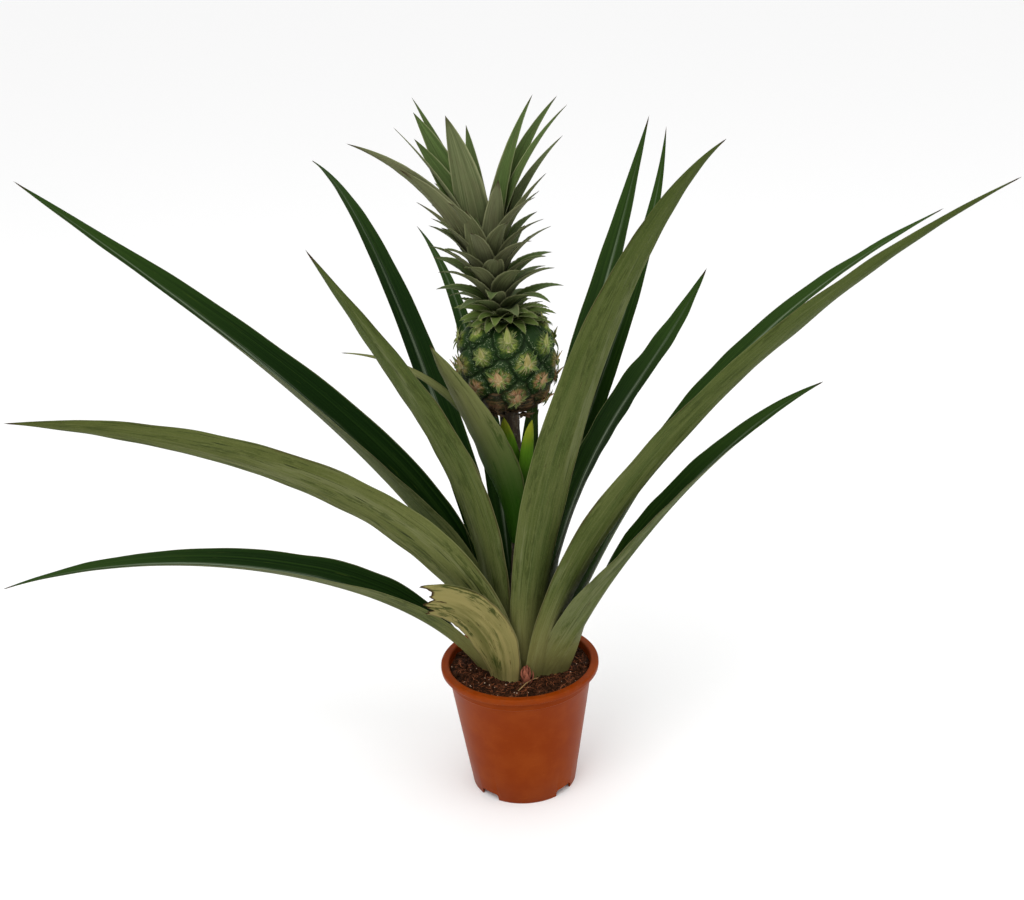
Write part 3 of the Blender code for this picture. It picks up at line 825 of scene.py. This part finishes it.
def clasping_leaf(leaf, centre, ring_r, thick, cells, rows, seed):
    """A mesh with one leaf or bract, whose base clasps a ring about a centre."""
    out, side = polar(math.radians(leaf.direction))
    rise = math.radians(leaf.rise)
    base = np.array(centre) + ring_r * out
    start = base + leaf.launch * (math.cos(rise) * out + math.sin(rise) * UP)
    foot = SOIL_Z * UP
    t = np.linspace(0, 1, rows + 1)
    spine = bezier((base, start, foot + leaf.shoulder, foot + leaf.tip), t)
    clasp = 1 - np.clip(t / 0.3, 0, 1)  # 1 at the base, 0 where the leaf is free
    half_width = leaf.width / 2 * (0.55 + 0.45 * (1 - clasp) ** 0.8)
    torn = 0.016 if leaf.dry > 0.9 else 0  # depth of a withered leaf's ragged end
    if torn:
        half_width *= 1 - 0.35 * t**4
    else:
        half_width *= 1 - np.clip((t - 0.25) / 0.75, 0, 1) ** leaf.blunt
    half_width = np.maximum(half_width, 1e-5)
    tip_channel = 0.35
    channel = tip_channel + (leaf.channel - tip_channel) * (1 - t)
    cup = channel + (half_width[0] / ring_r - channel) * clasp**1.5
    thick = TIP_T + (thick - TIP_T) * (1 - t) ** 2
    bm = tagged_mesh()
    add_blade(
        bm, spine, side, half_width, cup, thick, cells, (seed, leaf.tone, leaf.dry),
        leaf.twist, leaf.ripple, 0, leaf.roll, leaf.fold, torn,
    )
    return bm


def peduncle_at(z):
    """(x of the stalk's centre, its radius) at a height."""
    share = (z - STEM_HIGH.z) / (FRUIT_LOW.z - STEM_HIGH.z)
    x = 0.006 * math.sin(math.pi * share) ** 2 * (0.4 + 0.6 * share)
    return x, STALK_R * (1 + 0.12 * math.cos(math.tau * share))


def crown_leaf(
    bm, turn, foot, length, rise, tip_rise, width, roll, tags, blunt=1.9, teeth=0.0
):
    """One leaf of the crown, which leaves the core at a height and bends outwards to its tip."""
    rows, cells = (40, 10) if length > 0.055 else (26, 8)
    t = np.linspace(0, 1, rows + 1)
    angle = np.radians(rise + (tip_rise - rise) * t**1.3)
    step = length / rows
    core_r = 0.0065
    reach = core_r + np.concatenate([[0], np.cumsum(np.cos(angle[1:]) * step)])
    height = CROWN_Z + foot + np.concatenate([[0], np.cumsum(np.sin(angle[1:]) * step)])
    lean = bpy.context.scene.crown_settings.lean * math.sin(min(1, foot / 0.05) * math.pi / 2)
    out, side = polar(turn)
    spine = reach[:, None] * out + height[:, None] * UP - (lean, 0, 0)
    swell = 0.72 + 0.28 * np.sin(np.clip(t / 0.35, 0, 1) * math.pi / 2)
    half_width = np.maximum(width / 2 * swell * (1 - t**blunt), 1e-5)
    up = np.cross(spine[1] - spine[0], side) / step
    side = side * math.cos(math.radians(roll)) + up * math.sin(math.radians(roll))
    cup, thick = 0.85 - 0.35 * t, 0.0010 - 0.0006 * t
    add_blade(bm, spine, side, half_width, cup, thick, cells, tags, 0, 0.0005, teeth)


def soil_height(x, y):
    """Height of the rough soil at a point."""
    edge = math.hypot(x, y) / SOIL_HIGH.x
    spot = Vector((x, y, 0.3))
    rough = 0.0016 * noise.noise(spot * 90) + 0.0012 * noise.noise(spot * 260)
    return SOIL_TOP + 0.0022 * (1 - edge**2) - 0.0012 + rough


def scattered(rng, low, high):
    """A random spot on the soil between two distances from the axis."""
    radius = math.sqrt(rng.uniform(low**2, high**2))
    turn = rng.uniform(0, math.tau)
    x, y = radius * math.cos(turn), radius * math.sin(turn)
    return Vector((x, y, soil_height(x, y)))


class PLANT_OT_pot(bpy.types.Operator):
    """Turns the pot with its rolled lip, stacking step, feet and drain holes"""

    bl_idname = "plant.pot"
    bl_label = "Pot"

    def execute(self, context):
        own = context.scene.pot_settings
        top, lip = own.height, own.height - own.lip_height
        wall_top = own.rim_radius - 0.005
        step_z = top - 0.0125
        recess_z = 0.005  # underside of the floor, between the feet

        def outer_r(z):
            return POT_BASE_R + (wall_top - POT_BASE_R) * z / lip

        def inner_r(z):
            return outer_r(z) - own.wall

        def arc(x, z, radius, first, last, count):
            turns = (math.radians(first + (last - first) * k / (count - 1)) for k in range(count))
            return [(x + radius * math.cos(a), z + radius * math.sin(a)) for a in turns]

        outline = [
            (inner_r(0), 0.0004),
            (inner_r(0) + 0.0003, 0),
            (outer_r(0) - 0.0003, 0),
            (outer_r(0), 0.0004),
            (outer_r(0.030), 0.030),
            (outer_r(0.060), 0.060),
            (outer_r(step_z - 0.0006), step_z - 0.0006),
            (outer_r(step_z) + 0.0002, step_z),
            (outer_r(step_z) + 0.0008, step_z + 0.0006),
            (wall_top + 0.0006, lip + 0.0006),
            *arc(wall_top + 0.0014, lip + 0.0006, 0.0008, 180, 90, 5),
            (own.rim_radius - 0.0018, lip + 0.0012),
            *arc(own.rim_radius - 0.0008, lip + 0.0004, 0.0006, 225, 340, 6),
            (own.rim_radius, lip + 0.0016),
            *arc(own.rim_radius - 0.0014, top - 0.0014, 0.0014, 0, 90, 8),
            *arc(wall_top + 0.0003, top - 0.0016, 0.0016, 90, 180, 7),
            (inner_r(step_z), step_z),
            (inner_r(POT_FLOOR_Z), POT_FLOOR_Z + 0.002),
            (inner_r(POT_FLOOR_Z) - 0.002, POT_FLOOR_Z),
            (0.024, POT_FLOOR_Z),
            (0.019, 0.0018),
            (0, 0.0018),
            (0, 0),
            (0.0199, 0),
            (0.0249, recess_z),
            (inner_r(recess_z), recess_z),
        ]
        bm = spun(outline, own.steps, closed=True)
        bmesh.ops.dissolve_degenerate(bm, dist=1e-6, edges=bm.edges)
        bmesh.ops.recalc_face_normals(bm, faces=bm.faces)
        blank = make_object("pot_blank", bm)

        cutter = bmesh.new()
        notches, notch_size = 4, (0.012, 0.016, 0.011)
        for k in range(notches):
            made = bmesh.ops.create_cube(cutter, size=1)["verts"]
            bmesh.ops.scale(cutter, verts=made, vec=notch_size)
            uprights = [
                edge for edge in {e for v in made for e in v.link_edges}
                if edge.verts[0].co.z > 0 and edge.verts[1].co.z > 0
                and abs(edge.verts[0].co.x - edge.verts[1].co.x) > 1e-6
            ]
            rounded = bmesh.ops.bevel(
                cutter, geom=uprights, offset=0.0022, offset_type="OFFSET", segments=5, profile=0.5,
                affect="EDGES", material=-1,
            )
            island = list({v for v in made if v.is_valid} | set(rounded["verts"]))
            bmesh.ops.translate(cutter, verts=island, vec=(POT_BASE_R, 0, 0))
            turn = Matrix.Rotation(math.radians(47.5) + k * math.tau / notches, 3, "Z")
            bmesh.ops.rotate(cutter, verts=island, cent=(0, 0, 0), matrix=turn)
        holes, hole_r, ring_r = 8, 0.003, 0.030
        for k in range(holes):
            made = bmesh.ops.create_cone(
                cutter, cap_ends=True, segments=24, radius1=hole_r, radius2=hole_r, depth=0.010
            )["verts"]
            turn = k * math.tau / holes
            spot = (ring_r * math.cos(turn), ring_r * math.sin(turn), POT_FLOOR_Z)
            bmesh.ops.translate(cutter, verts=made, vec=spot)
        bmesh.ops.recalc_face_normals(cutter, faces=cutter.faces)
        tool = make_object("pot_cutter", cutter)
        cut = blank.modifiers.new("notches", "BOOLEAN")
        cut.object, cut.operation, cut.solver = tool, "DIFFERENCE", "EXACT"
        context.view_layer.update()
        shaped = bmesh.new()
        shaped.from_object(blank, context.evaluated_depsgraph_get())
        bmesh.ops.dissolve_degenerate(shaped, dist=1e-6, edges=shaped.edges)
        for old in (blank, tool):
            mesh = old.data
            bpy.data.objects.remove(old)
            bpy.data.meshes.remove(mesh)
        finish_piece("pot_shell", shaped, [pot_plastic(own)], ["pot"], 30)
        return {"FINISHED"}


class PLANT_OT_soil(bpy.types.Operator):
    """Fills the pot with potting mix, and strews crumbs, fibres and specks on it"""

    bl_idname = "plant.soil"
    bl_label = "Soil"

    def execute(self, context):
        own = context.scene.soil_settings
        bottom, rings = 0.012, 44
        outline = [(0, bottom), (0.038, bottom), (SOIL_EDGE - 0.0012, SOIL_TOP - 0.003)]
        outline += [(SOIL_EDGE * (1 - k / rings), SOIL_TOP) for k in range(rings + 1)]
        bm = spun(outline, 150)
        for vert in bm.verts:
            if vert.co.z > SOIL_TOP - 0.001:
                vert.co.z = soil_height(vert.co.x, vert.co.y)
        finish_piece("soil_fill", bm, [potting_mix(own)], ["soil"], 60)

        rng = random.Random(4)
        for name, count, size, colour in (
            ("soil_crumbs", own.crumbs, (0.0004, 0.0016), own.soil * 0.9),
            ("soil_specks", own.specks, (0.0002, 0.0006), own.speck),
        ):
            bm = tagged_mesh()
            shade_tag = bm.verts.layers.float_vector["leaf"]
            for _ in range(count):
                radius = rng.uniform(*size)
                made = bmesh.ops.create_icosphere(bm, subdivisions=1, radius=radius)["verts"]
                spot = scattered(rng, 0.012, SOIL_EDGE - 0.0015)
                turn = Euler([rng.uniform(0, math.tau) for _ in range(3)]).to_matrix()
                stretch = Matrix.Diagonal([rng.uniform(0.7, 1.4) for _ in range(3)])
                shade = (rng.random(), rng.random(), 0)
                for vert in made:
                    vert.co = spot + turn @ (stretch @ vert.co) + Vector((0, 0, radius * 0.35))
                    vert[shade_tag] = shade
            finish_piece(name, bm, [loose_matter(name, colour)], crease=75)

        bm = tagged_mesh()
        t = np.linspace(0, 1, 6)
        for _ in range(own.fibres):
            spot = np.array(scattered(rng, 0.016, SOIL_EDGE - 0.003)) + (0, 0, 0.0008)
            turn, length = rng.uniform(0, math.tau), rng.uniform(0.002, 0.007)
            out, side = polar(turn)
            way = out + rng.uniform(-0.05, 0.35) * UP
            bow = (side + rng.uniform(0, 0.8) * UP) * length * rng.uniform(-0.3, 0.3)
            spine = spot + t[:, None] * way * length + (np.sin(t * math.pi))[:, None] * bow
            if np.hypot(spine[:, 0], spine[:, 1]).max() >= SOIL_EDGE:
                continue
            width = rng.uniform(0.00010, 0.00022)
            tags = (rng.random(), rng.random(), 0)
            add_blade(bm, spine, side, width, 1.0, width * 1.2, 2, tags)
        fibre = loose_matter("soil_fibres", own.fibre, 0.8)
        finish_piece("soil_fibres", bm, [fibre])

        bm = tagged_mesh()
        t = np.linspace(0, 1, 12)
        spine = np.array([-0.002, -0.041, SOIL_TOP + 0.0015]) + t[:, None] * (0.016, 0.013, 0.003)
        spine = spine + np.sin(t * math.pi)[:, None] * (0.0, 0.002, 0.0012)
        add_blade(bm, spine, np.array([0, 1.0, 0]), 0.0005, 1.0, 0.0005, 4, (0.9, 0, 0))
        straw = loose_matter("soil_straw", (0.30, 0.20, 0.09))
        finish_piece("soil_straw", bm, [straw])
        return {"FINISHED"}


class PLANT_OT_stem(bpy.types.Operator):
    """Makes the short stem, the fruit's stalk and the bud at the stem's foot"""

    bl_idname = "plant.stem"
    bl_label = "Stem and stalk"

    def execute(self, context):
        skin = stalk_skin("stem_skin", (0.085, 0.055, 0.024), (0.20, 0.16, 0.075))
        bark = stalk_skin("stalk_skin", (0.045, 0.026, 0.018), (0.115, 0.078, 0.045))
        for name, node, finish, low, high in (
            ("stem_body", "stem", skin, STEM_LOW.z, STEM_HIGH.z),
            ("fruit_stalk", "peduncle", bark, STEM_HIGH.z - 0.001, FRUIT_LOW.z + 0.007),
        ):
            bm = bmesh.new()
            bmesh.ops.create_cone(bm, cap_ends=True, segments=40, radius1=1, radius2=1, depth=1)
            walls = [e for e in bm.edges if abs(e.verts[0].co.z - e.verts[1].co.z) > 0.5]
            bmesh.ops.subdivide_edges(bm, edges=walls, cuts=60, use_grid_fill=True)
            for vert in bm.verts:
                share = vert.co.z + 0.5
                z = low + (high - low) * share
                turn = math.atan2(vert.co.y, vert.co.x)
                out, _ = polar(turn)
                if node == "stem":
                    x, radius = 0, STEM_R * (0.62 + 0.38 * min(1, share / 0.55))
                    radius -= 0.004 * max(0, share - 0.75) / 0.25
                else:
                    x, radius = peduncle_at(min(max(z, STEM_HIGH.z), FRUIT_LOW.z))
                ridge = 0.00035 * math.sin(9 * turn + 2 * share)
                ridge += 0.0005 * noise.noise(Vector((out[0], out[1], z * 160)))
                knot = 0.0007 * max(0, math.cos(share * math.tau * 5)) ** 12
                reach = (radius + ridge + knot) * math.hypot(vert.co.x, vert.co.y)
                vert.co = reach * out + (x, 0, z)
            finish_piece(name, bm, [finish], [node], 60)

        bm = tagged_mesh()
        rng = random.Random(11)
        spot = np.array([0.0045, -0.0290, SOIL_TOP + 0.0005])
        scales, bud_height = 14, 0.008
        t = np.linspace(0, 1, 9)
        for k in range(scales):
            share = k / (scales - 1)
            out, side = polar(k * GOLDEN)
            length = 0.011 - 0.003 * share
            reach = 0.0026 * (1 - share) + 0.0028 * np.sin(t * math.pi * 0.8) * (1 - 0.5 * share)
            spine = spot + reach[:, None] * out + (bud_height * share + t * length)[:, None] * UP
            half = 0.0034 * (1 - t**1.7) + 1e-5
            tags = (rng.random(), 0.15 + 0.2 * rng.random(), 0.5)
            add_blade(bm, spine, side, half, 0.9, 0.0005, 6, tags)
        bud = loose_matter("bud_scale", (0.26, 0.085, 0.050), 0.7)
        finish_piece("side_bud", bm, [bud, bud])
        return {"FINISHED"}


class PLANT_OT_leaves(bpy.types.Operator):
    """Grows the long leaves from their rings round the stem"""

    bl_idname = "plant.leaves"
    bl_label = "Long leaves"

    def execute(self, context):
        own = context.scene.leaf_settings
        finishes = [leaf_upper(own), leaf_under(own)]
        for number, (name, leaf) in enumerate(LONG_LEAVES.items()):
            ring_r = STEM_R + CLASP_GAP + LEAF_T / 2 + RING_STEP * leaf.level
            centre, seed = (0, 0, SOIL_Z - 0.001), 0.07 + number * 0.061
            bm = clasping_leaf(leaf, centre, ring_r, LEAF_T, own.across, own.along, seed)
            finish_piece(f"{name}_blade", bm, finishes, [name], 70)
        return {"FINISHED"}


class PLANT_OT_bracts(bpy.types.Operator):
    """Grows the bracts on the fruit's stalk"""

    bl_idname = "plant.bracts"
    bl_label = "Bracts"

    def execute(self, context):
        own = context.scene.leaf_settings
        # The small bracts' material is painted bright: painted light shining through them from
        # behind.
        upper, fresh = leaf_upper(own), bract_fresh_painted_backlight()
        under = leaf_under(own, "bract_under", BRACT_FOOT, 0.36)
        sides = {
            "bract_yellow": [fresh, fresh], "bract_small": [fresh, fresh],
            "bract_thin": [under, under],
        }
        for number, (name, bract) in enumerate(BRACTS.items()):
            z = SOIL_Z + bract.level
            x, radius = peduncle_at(z)
            ring_r, seed = radius + BRACT_T / 2 + 0.0006, 0.11 + number * 0.17
            bm = clasping_leaf(bract, (x, 0, z), ring_r, BRACT_T, 14, own.along // 2, seed)
            finishes = sides.get(name, [upper, under])
            finish_piece(f"{name}_blade", bm, finishes, [name], 70)
        return {"FINISHED"}


class PLANT_OT_fruit(bpy.types.Operator):
    """Shapes the fruit with its spiral of eyes, and covers each eye with a bract and hairs"""

    bl_idname = "plant.fruit"
    bl_label = "Fruit"

    def execute(self, context):
        own = context.scene.fruit_settings
        self.low = FRUIT_LOW.z + 0.004
        self.tall = FRUIT_HIGH.z + 0.001 - self.low
        self.belly_r = FRUIT_HIGH.x - 0.0022
        spiral = range(own.eyes)
        self.turns = np.array([math.radians(78) - k * GOLDEN for k in spiral])
        self.levels = np.array([(k + 0.5) / own.eyes for k in spiral])
        self.rng = random.Random(7)
        self.sizes = np.array([self.rng.uniform(0.9, 1.1) for _ in spiral])
        self.make_body(own)
        husk = husk_finish(own)
        self.cover_eyes(own, husk)
        self.make_fringe(husk)
        return {"FINISHED"}

    def outline_r(self, s):
        """The fruit's radius without its eyes, at a share of its height."""
        core = (0.008 + 0.004 * s) * min(1, min(s, 1 - s) / 0.012)
        return core + (self.belly_r - 0.010) * (1 - abs(2 * s - 1) ** 2.3) ** (1 / 2.3)

    def make_body(self, own):
        """The flesh, with a mound for each eye and grooves where two eyes meet."""
        wander, groove_w, dome_r, dimple_r = 0.0016, 0.0036, 0.0105, 0.0018
        noise.seed_set(7)  # without it, the grooves would wander differently in every run
        bm = tagged_mesh(("eye", "fruit"))
        layers = bm.verts.layers.float_vector
        eye_tag, fruit_tag = layers["eye"], layers["fruit"]
        bmesh.ops.create_uvsphere(bm, u_segments=190, v_segments=120, radius=1)
        for vert in bm.verts:
            s = 1 - math.acos(max(-1, min(1, vert.co.z))) / math.pi
            turn = math.atan2(vert.co.y, vert.co.x)
            sway = noise.noise_vector(vert.co * 7)
            dx = np.remainder(turn - self.turns + math.pi, math.tau) - math.pi
            dx = dx * self.belly_r * 0.96 + wander * sway.x
            dz = (s - self.levels) * self.tall + wander * sway.y
            far = np.hypot(dx, dz) / self.sizes
            k, second = np.argsort(far)[:2]
            edge = far[second] - far[k]
            radius = self.outline_r(s)
            mound = 1 - math.exp(-((edge / groove_w) ** 1.4))
            dome = max(0, 1 - (far[k] / dome_r) ** 2)
            dimple = math.exp(-((far[k] / dimple_r) ** 2))
            fade = min(1, radius / (self.belly_r * 0.7))
            rise = own.eye_height * fade * (0.55 * mound + 0.6 * dome - 0.25 * dimple) - 0.0006
            rise += 0.00035 * noise.noise(vert.co * 22) * fade
            reach = radius + (rise if radius > 0.002 else 0)
            vert[eye_tag] = (dx[k], dz[k], edge / 0.006)
            vert[fruit_tag] = (self.levels[k], (k * 0.37) % 1, far[k] / 0.0085)
            z = self.low + self.tall * s
            vert.co = (reach * math.cos(turn), reach * math.sin(turn), z)
        finish_piece("fruit_body", bm, [fruit_skin(own)], ["fruit"], 80)

    def cover_eyes(self, own, husk):
        """A dry bract, a ring of sepals and a ring of hairs on each eye."""
        rng = self.rng
        husks, hairs, sepals = tagged_mesh(), tagged_mesh(), tagged_mesh()
        for s, turn, size in zip(self.levels, self.turns, self.sizes):
            if s > 0.97:
                continue
            widening = self.outline_r(min(0.999, s + 0.02)) - self.outline_r(max(0.001, s - 0.02))
            slope = math.atan2(widening, 0.04 * self.tall)
            out, side = polar(turn)
            up = UP * math.cos(slope) + out * math.sin(slope)
            normal = out * math.cos(slope) - UP * math.sin(slope)
            centre = out * self.outline_r(s) + UP * (self.low + self.tall * s)
            centre = centre + normal * own.eye_height * 0.9
            dry = 0.95 if s < 0.16 else 0.35 * rng.random()

            t = np.linspace(0, 1, 12)
            length = rng.uniform(0.0130, 0.0165) * size
            hug = -0.0018 * (1 - t) ** 1.5 + 0.0052 * t**2.2 + 0.0010 * np.sin(t * math.pi)
            spine = centre + up * ((t - 0.45) * length)[:, None] + normal * hug[:, None]
            spine = spine + side * (rng.uniform(-0.0012, 0.0012) * t**2)[:, None]
            half = 0.0046 * size * (0.75 + 0.25 * np.sin(t * 2.4)) * (1 - t**1.5) + 1e-5
            tags, twist = (rng.random(), s, dry), rng.uniform(-12, 12)
            add_blade(husks, spine, side, half, 0.55, 0.0005, 6, tags, twist, 0.0003)

            q = np.linspace(0.12, 1, 8)
            for j in range(own.sepals):
                spin = math.tau * (j + rng.uniform(-0.45, 0.45)) / own.sepals + 0.5
                way = side * math.cos(spin) + up * math.sin(spin)
                reach = rng.uniform(0.0058, 0.0110) * size
                lift = 0.0020 * np.sin(q * 2.4) + (0.0024 * rng.random() - 0.0006) * q**3 - 0.0007
                spine = centre + way * (q * reach)[:, None] + normal * lift[:, None]
                taper = np.sin(q * math.pi * 0.62 + 0.9) * (1 - q**3)
                half = rng.uniform(0.0011, 0.0021) * taper + 1e-5
                tags, twist = (rng.random(), s, dry), rng.uniform(-25, 25)
                cross = np.cross(normal, way)
                add_blade(sepals, spine, cross, half, 0.8, 0.0004, 4, tags, twist)

            q = np.linspace(0.25, 1, 5)
            sink = 0.0009 - 0.0016 * q**2.2
            half = 0.00036 * (1.05 - q)
            for j in range(own.hairs):
                spin = math.tau * (j + rng.uniform(-0.3, 0.3)) / own.hairs
                way = side * math.cos(spin) + up * math.sin(spin)
                cross = np.cross(normal, way)
                reach = rng.uniform(0.0045, 0.0085) * size
                curl = rng.uniform(-0.0016, 0.0016) * q**2
                spine = centre + way * (q * reach)[:, None] + normal * sink[:, None]
                spine = spine + cross * curl[:, None]
                tags = (rng.random(), s, dry * 0.8)
                add_blade(hairs, spine, cross, half, 1.0, half * 1.3, 2, tags)
        finish_piece("fruit_husks", husks, [husk, husk])
        sepal = sepal_finish(own)
        finish_piece("fruit_sepals", sepals, [sepal, sepal])
        hair = husk_finish(own, "fruit_hair", 0.55)
        finish_piece("fruit_hairs", hairs, [hair, hair])

    def make_fringe(self, husk):
        """The dry scales between the stalk and the underside of the fruit."""
        rng = self.rng
        scales, t = 90, np.linspace(0, 1, 9)
        bm = tagged_mesh()
        for k in range(scales):
            out, side = polar(k * GOLDEN + 0.4)
            start, length = rng.uniform(0.006, 0.020), rng.uniform(0.008, 0.014)
            drop = rng.uniform(-0.002, 0.001)
            radial = start + length * t
            underside = (0, 0.012, 0.020, 0.027, 0.034), (0, 0.0003, 0.0028, 0.0075, 0.018)
            height = self.low - 0.0012 + np.interp(radial, *underside) + drop * t
            spine = out * radial[:, None] + UP * height[:, None]
            half = rng.uniform(0.0010, 0.0022) * (1 - t**1.6) + 1e-5
            twist, tags = rng.uniform(-30, 30), (rng.random(), 0.1, 1.0)
            add_blade(bm, spine, side, half, 0.5, 0.0004, 4, tags, twist, 0.0004)
        finish_piece("fruit_dry_fringe", bm, [husk, husk])


class PLANT_OT_crown(bpy.types.Operator):
    """Grows the crown: short nested leaves below, long ones that fan out above"""

    bl_idname = "plant.crown"
    bl_label = "Crown"

    def execute(self, context):
        own = context.scene.crown_settings
        inner = crown_side("crown_inner", own.green, own.green * 0.75, own, 0.34)
        outer = crown_side("crown_outer", own.grey, own.green, own, 0.48)
        rng = random.Random(21)
        names = sorted(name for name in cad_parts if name.startswith("crown_leaf_"))
        half = len(names) // 2
        bm = tagged_mesh()
        for k in range(own.collar):
            ring = k % 2
            turn = math.radians(20) + k * math.tau / own.collar + rng.uniform(-0.15, 0.15)
            length, rise = rng.uniform(0.022, 0.029) + 0.004 * ring, rng.uniform(6, 22) + 16 * ring
            tip, width = rng.uniform(-38, -5) + 15 * ring, rng.uniform(0.012, 0.016)
            tags = (rng.random(), rng.uniform(0.75, 1.0), 1)
            foot, roll = 0.0012 * rng.random() + 0.0018 * ring, rng.uniform(-14, 14)
            crown_leaf(bm, turn, foot, length, rise, tip, width, roll, tags, teeth=0.0006)
        for k in range(own.leaves):
            s = k / (own.leaves - 1)
            turn, foot = math.radians(62) - k * GOLDEN, 0.004 + 0.043 * s
            length = np.interp(s, (0, 0.3, 0.7, 1), (0.039, 0.045, 0.052, 0.058))
            length *= rng.uniform(0.94, 1.08)
            rise = np.interp(s, (0, 0.3, 1), (38, 55, 70)) + rng.uniform(-4, 4)
            tip = np.interp(s, (0, 0.3, 1), (-25, 0, 32)) + rng.uniform(-9, 9)
            width = np.interp(s, (0, 0.4, 1), (0.017, 0.018, 0.017)) * rng.uniform(0.92, 1.08)
            tone = np.interp(s, (0, 0.16, 0.4, 1), (0.90, 0.50, 0.10, 0.05))
            tone += rng.uniform(-0.08, 0.12)
            tags = (rng.random(), max(0, min(1, tone)), 0)
            roll = rng.uniform(-10, 10)
            crown_leaf(bm, turn, foot, length, rise, tip, width, roll, tags, teeth=0.00025)
        finish_piece("crown_lower_leaves", bm, [inner, outer], names[:half])

        bm = tagged_mesh()
        for top in TOP_LEAVES:
            tags = (rng.random(), top.tone, 0)
            crown_leaf(
                bm, math.radians(top.direction), top.foot, top.length, top.rise, top.tip_rise,
                top.width, top.roll, tags, top.blunt,
            )
        finish_piece("crown_upper_leaves", bm, [inner, outer], names[half:])

        bm = tagged_mesh()
        heart = 9
        for k in range(heart):
            s = k / (heart - 1)
            turn, foot, length = math.radians(20) - k * GOLDEN, 0.052 + 0.006 * s, 0.026 - 0.008 * s
            crown_leaf(bm, turn, foot, length, 80, 70, 0.009, 0, (rng.random(), 0.9, 0))
        finish_piece("crown_heart_leaves", bm, [inner, outer], ["crown_core"])
        return {"FINISHED"}


class PLANT_OT_stage(bpy.types.Operator):
    """Sets the floor, the soft lights and the camera"""

    bl_idname = "plant.stage"
    bl_label = "Stage"

    def execute(self, context):
        scene = context.scene
        own = scene.stage_settings
        bm = bmesh.new()
        bmesh.ops.create_grid(bm, x_segments=1, y_segments=1, size=30)
        paint = Finish("floor_paint", 0.9, 0.1)
        fine = paint.noise(paint.place(), 40, 3)
        paint.set("Base Color", paint.mix(fine * 0.15, own.floor, own.floor * 0.97))
        floor = make_object("floor", bm, [paint.material])

        world = bpy.data.worlds.new("soft_light")
        world.use_nodes = True
        tree = world.node_tree
        background = tree.nodes["Background"]
        spot = tree.nodes.new("ShaderNodeTexCoord")
        split = tree.nodes.new("ShaderNodeSeparateXYZ")
        rise = tree.nodes.new("ShaderNodeMapRange")
        rise.interpolation_type = "SMOOTHSTEP"
        for key, value in {1: 0.05, 2: 0.85, 3: own.horizon, 4: own.sky}.items():
            rise.inputs[key].default_value = value
        tree.links.new(spot.outputs["Generated"], split.inputs[0])
        tree.links.new(split.outputs[2], rise.inputs[0])
        tree.links.new(rise.outputs[0], background.inputs["Strength"])
        background.inputs["Color"].default_value = (1, 1, 1, 1)
        scene.world = world
        middle = Vector((0, 0, 0.25))
        for name, power, size, spot in (
            ("key", own.key, 1.2, Vector((-0.7, -1.1, 1.6))),
            ("fill", own.fill, 1.4, Vector((1.2, -0.6, 1.0))),
        ):
            lamp = bpy.data.lights.new(name, "AREA")
            lamp.energy, lamp.size = power, size
            obj = bpy.data.objects.new(name, lamp)
            obj.location = spot
            obj.rotation_euler = (middle - spot).to_track_quat("-Z", "Y").to_euler()
            scene.collection.objects.link(obj)

        lens = bpy.data.cameras.new("camera")
        lens.sensor_width, lens.lens = 36, 53.05
        lens.clip_start, lens.clip_end = 0.01, 100
        camera = bpy.data.objects.new("camera", lens)
        pitch, roll = math.radians(22), math.radians(-2.465)
        turn = Matrix.Rotation(math.pi / 2 - pitch, 4, "X") @ Matrix.Rotation(roll, 4, "Z")
        camera.matrix_world = Matrix.Translation((0.00097, -1.0054, 0.681)) @ turn
        scene.collection.objects.link(camera)
        scene.camera = camera
        scene.view_settings.view_transform = "Standard"
        return {"FINISHED"}


OPERATORS = (
    PLANT_OT_pot, PLANT_OT_soil, PLANT_OT_stem, PLANT_OT_leaves, PLANT_OT_bracts, PLANT_OT_fruit,
    PLANT_OT_crown, PLANT_OT_stage,
)
SETTINGS = {
    "pot_settings": PotSettings,
    "soil_settings": SoilSettings,
    "leaf_settings": LeafSettings,
    "fruit_settings": FruitSettings,
    "crown_settings": CrownSettings,
    "stage_settings": StageSettings,
}


class PLANT_PT_pieces(bpy.types.Panel):
    """Lists the plant's pieces and their settings"""

    bl_label = "Potted Pineapple Plant"
    bl_idname = "PLANT_PT_pieces"
    bl_space_type = "VIEW_3D"
    bl_region_type = "UI"
    bl_category = "Plant"

    def draw(self, context):
        for operator in OPERATORS:
            self.layout.operator(operator.bl_idname)
        for name, group in SETTINGS.items():
            box = self.layout.box()
            for prop in group.__annotations__:
                box.prop(getattr(context.scene, name), prop)


def register():
    for group in SETTINGS.values():
        bpy.utils.register_class(group)
    for name, group in SETTINGS.items():
        setattr(bpy.types.Scene, name, bpy.props.PointerProperty(type=group))
    for made in (*OPERATORS, PLANT_PT_pieces):
        bpy.utils.register_class(made)


def unregister():
    for made in (PLANT_PT_pieces, *reversed(OPERATORS)):
        bpy.utils.unregister_class(made)
    for name in SETTINGS:
        delattr(bpy.types.Scene, name)
    for group in reversed(SETTINGS.values()):
        bpy.utils.unregister_class(group)


def main():
    register()
    bpy.ops.plant.pot()
    bpy.ops.plant.soil()
    bpy.ops.plant.stem()
    bpy.ops.plant.leaves()
    bpy.ops.plant.bracts()
    bpy.ops.plant.fruit()
    bpy.ops.plant.crown()
    bpy.ops.plant.stage()


if __name__ == "__main__":
    main()
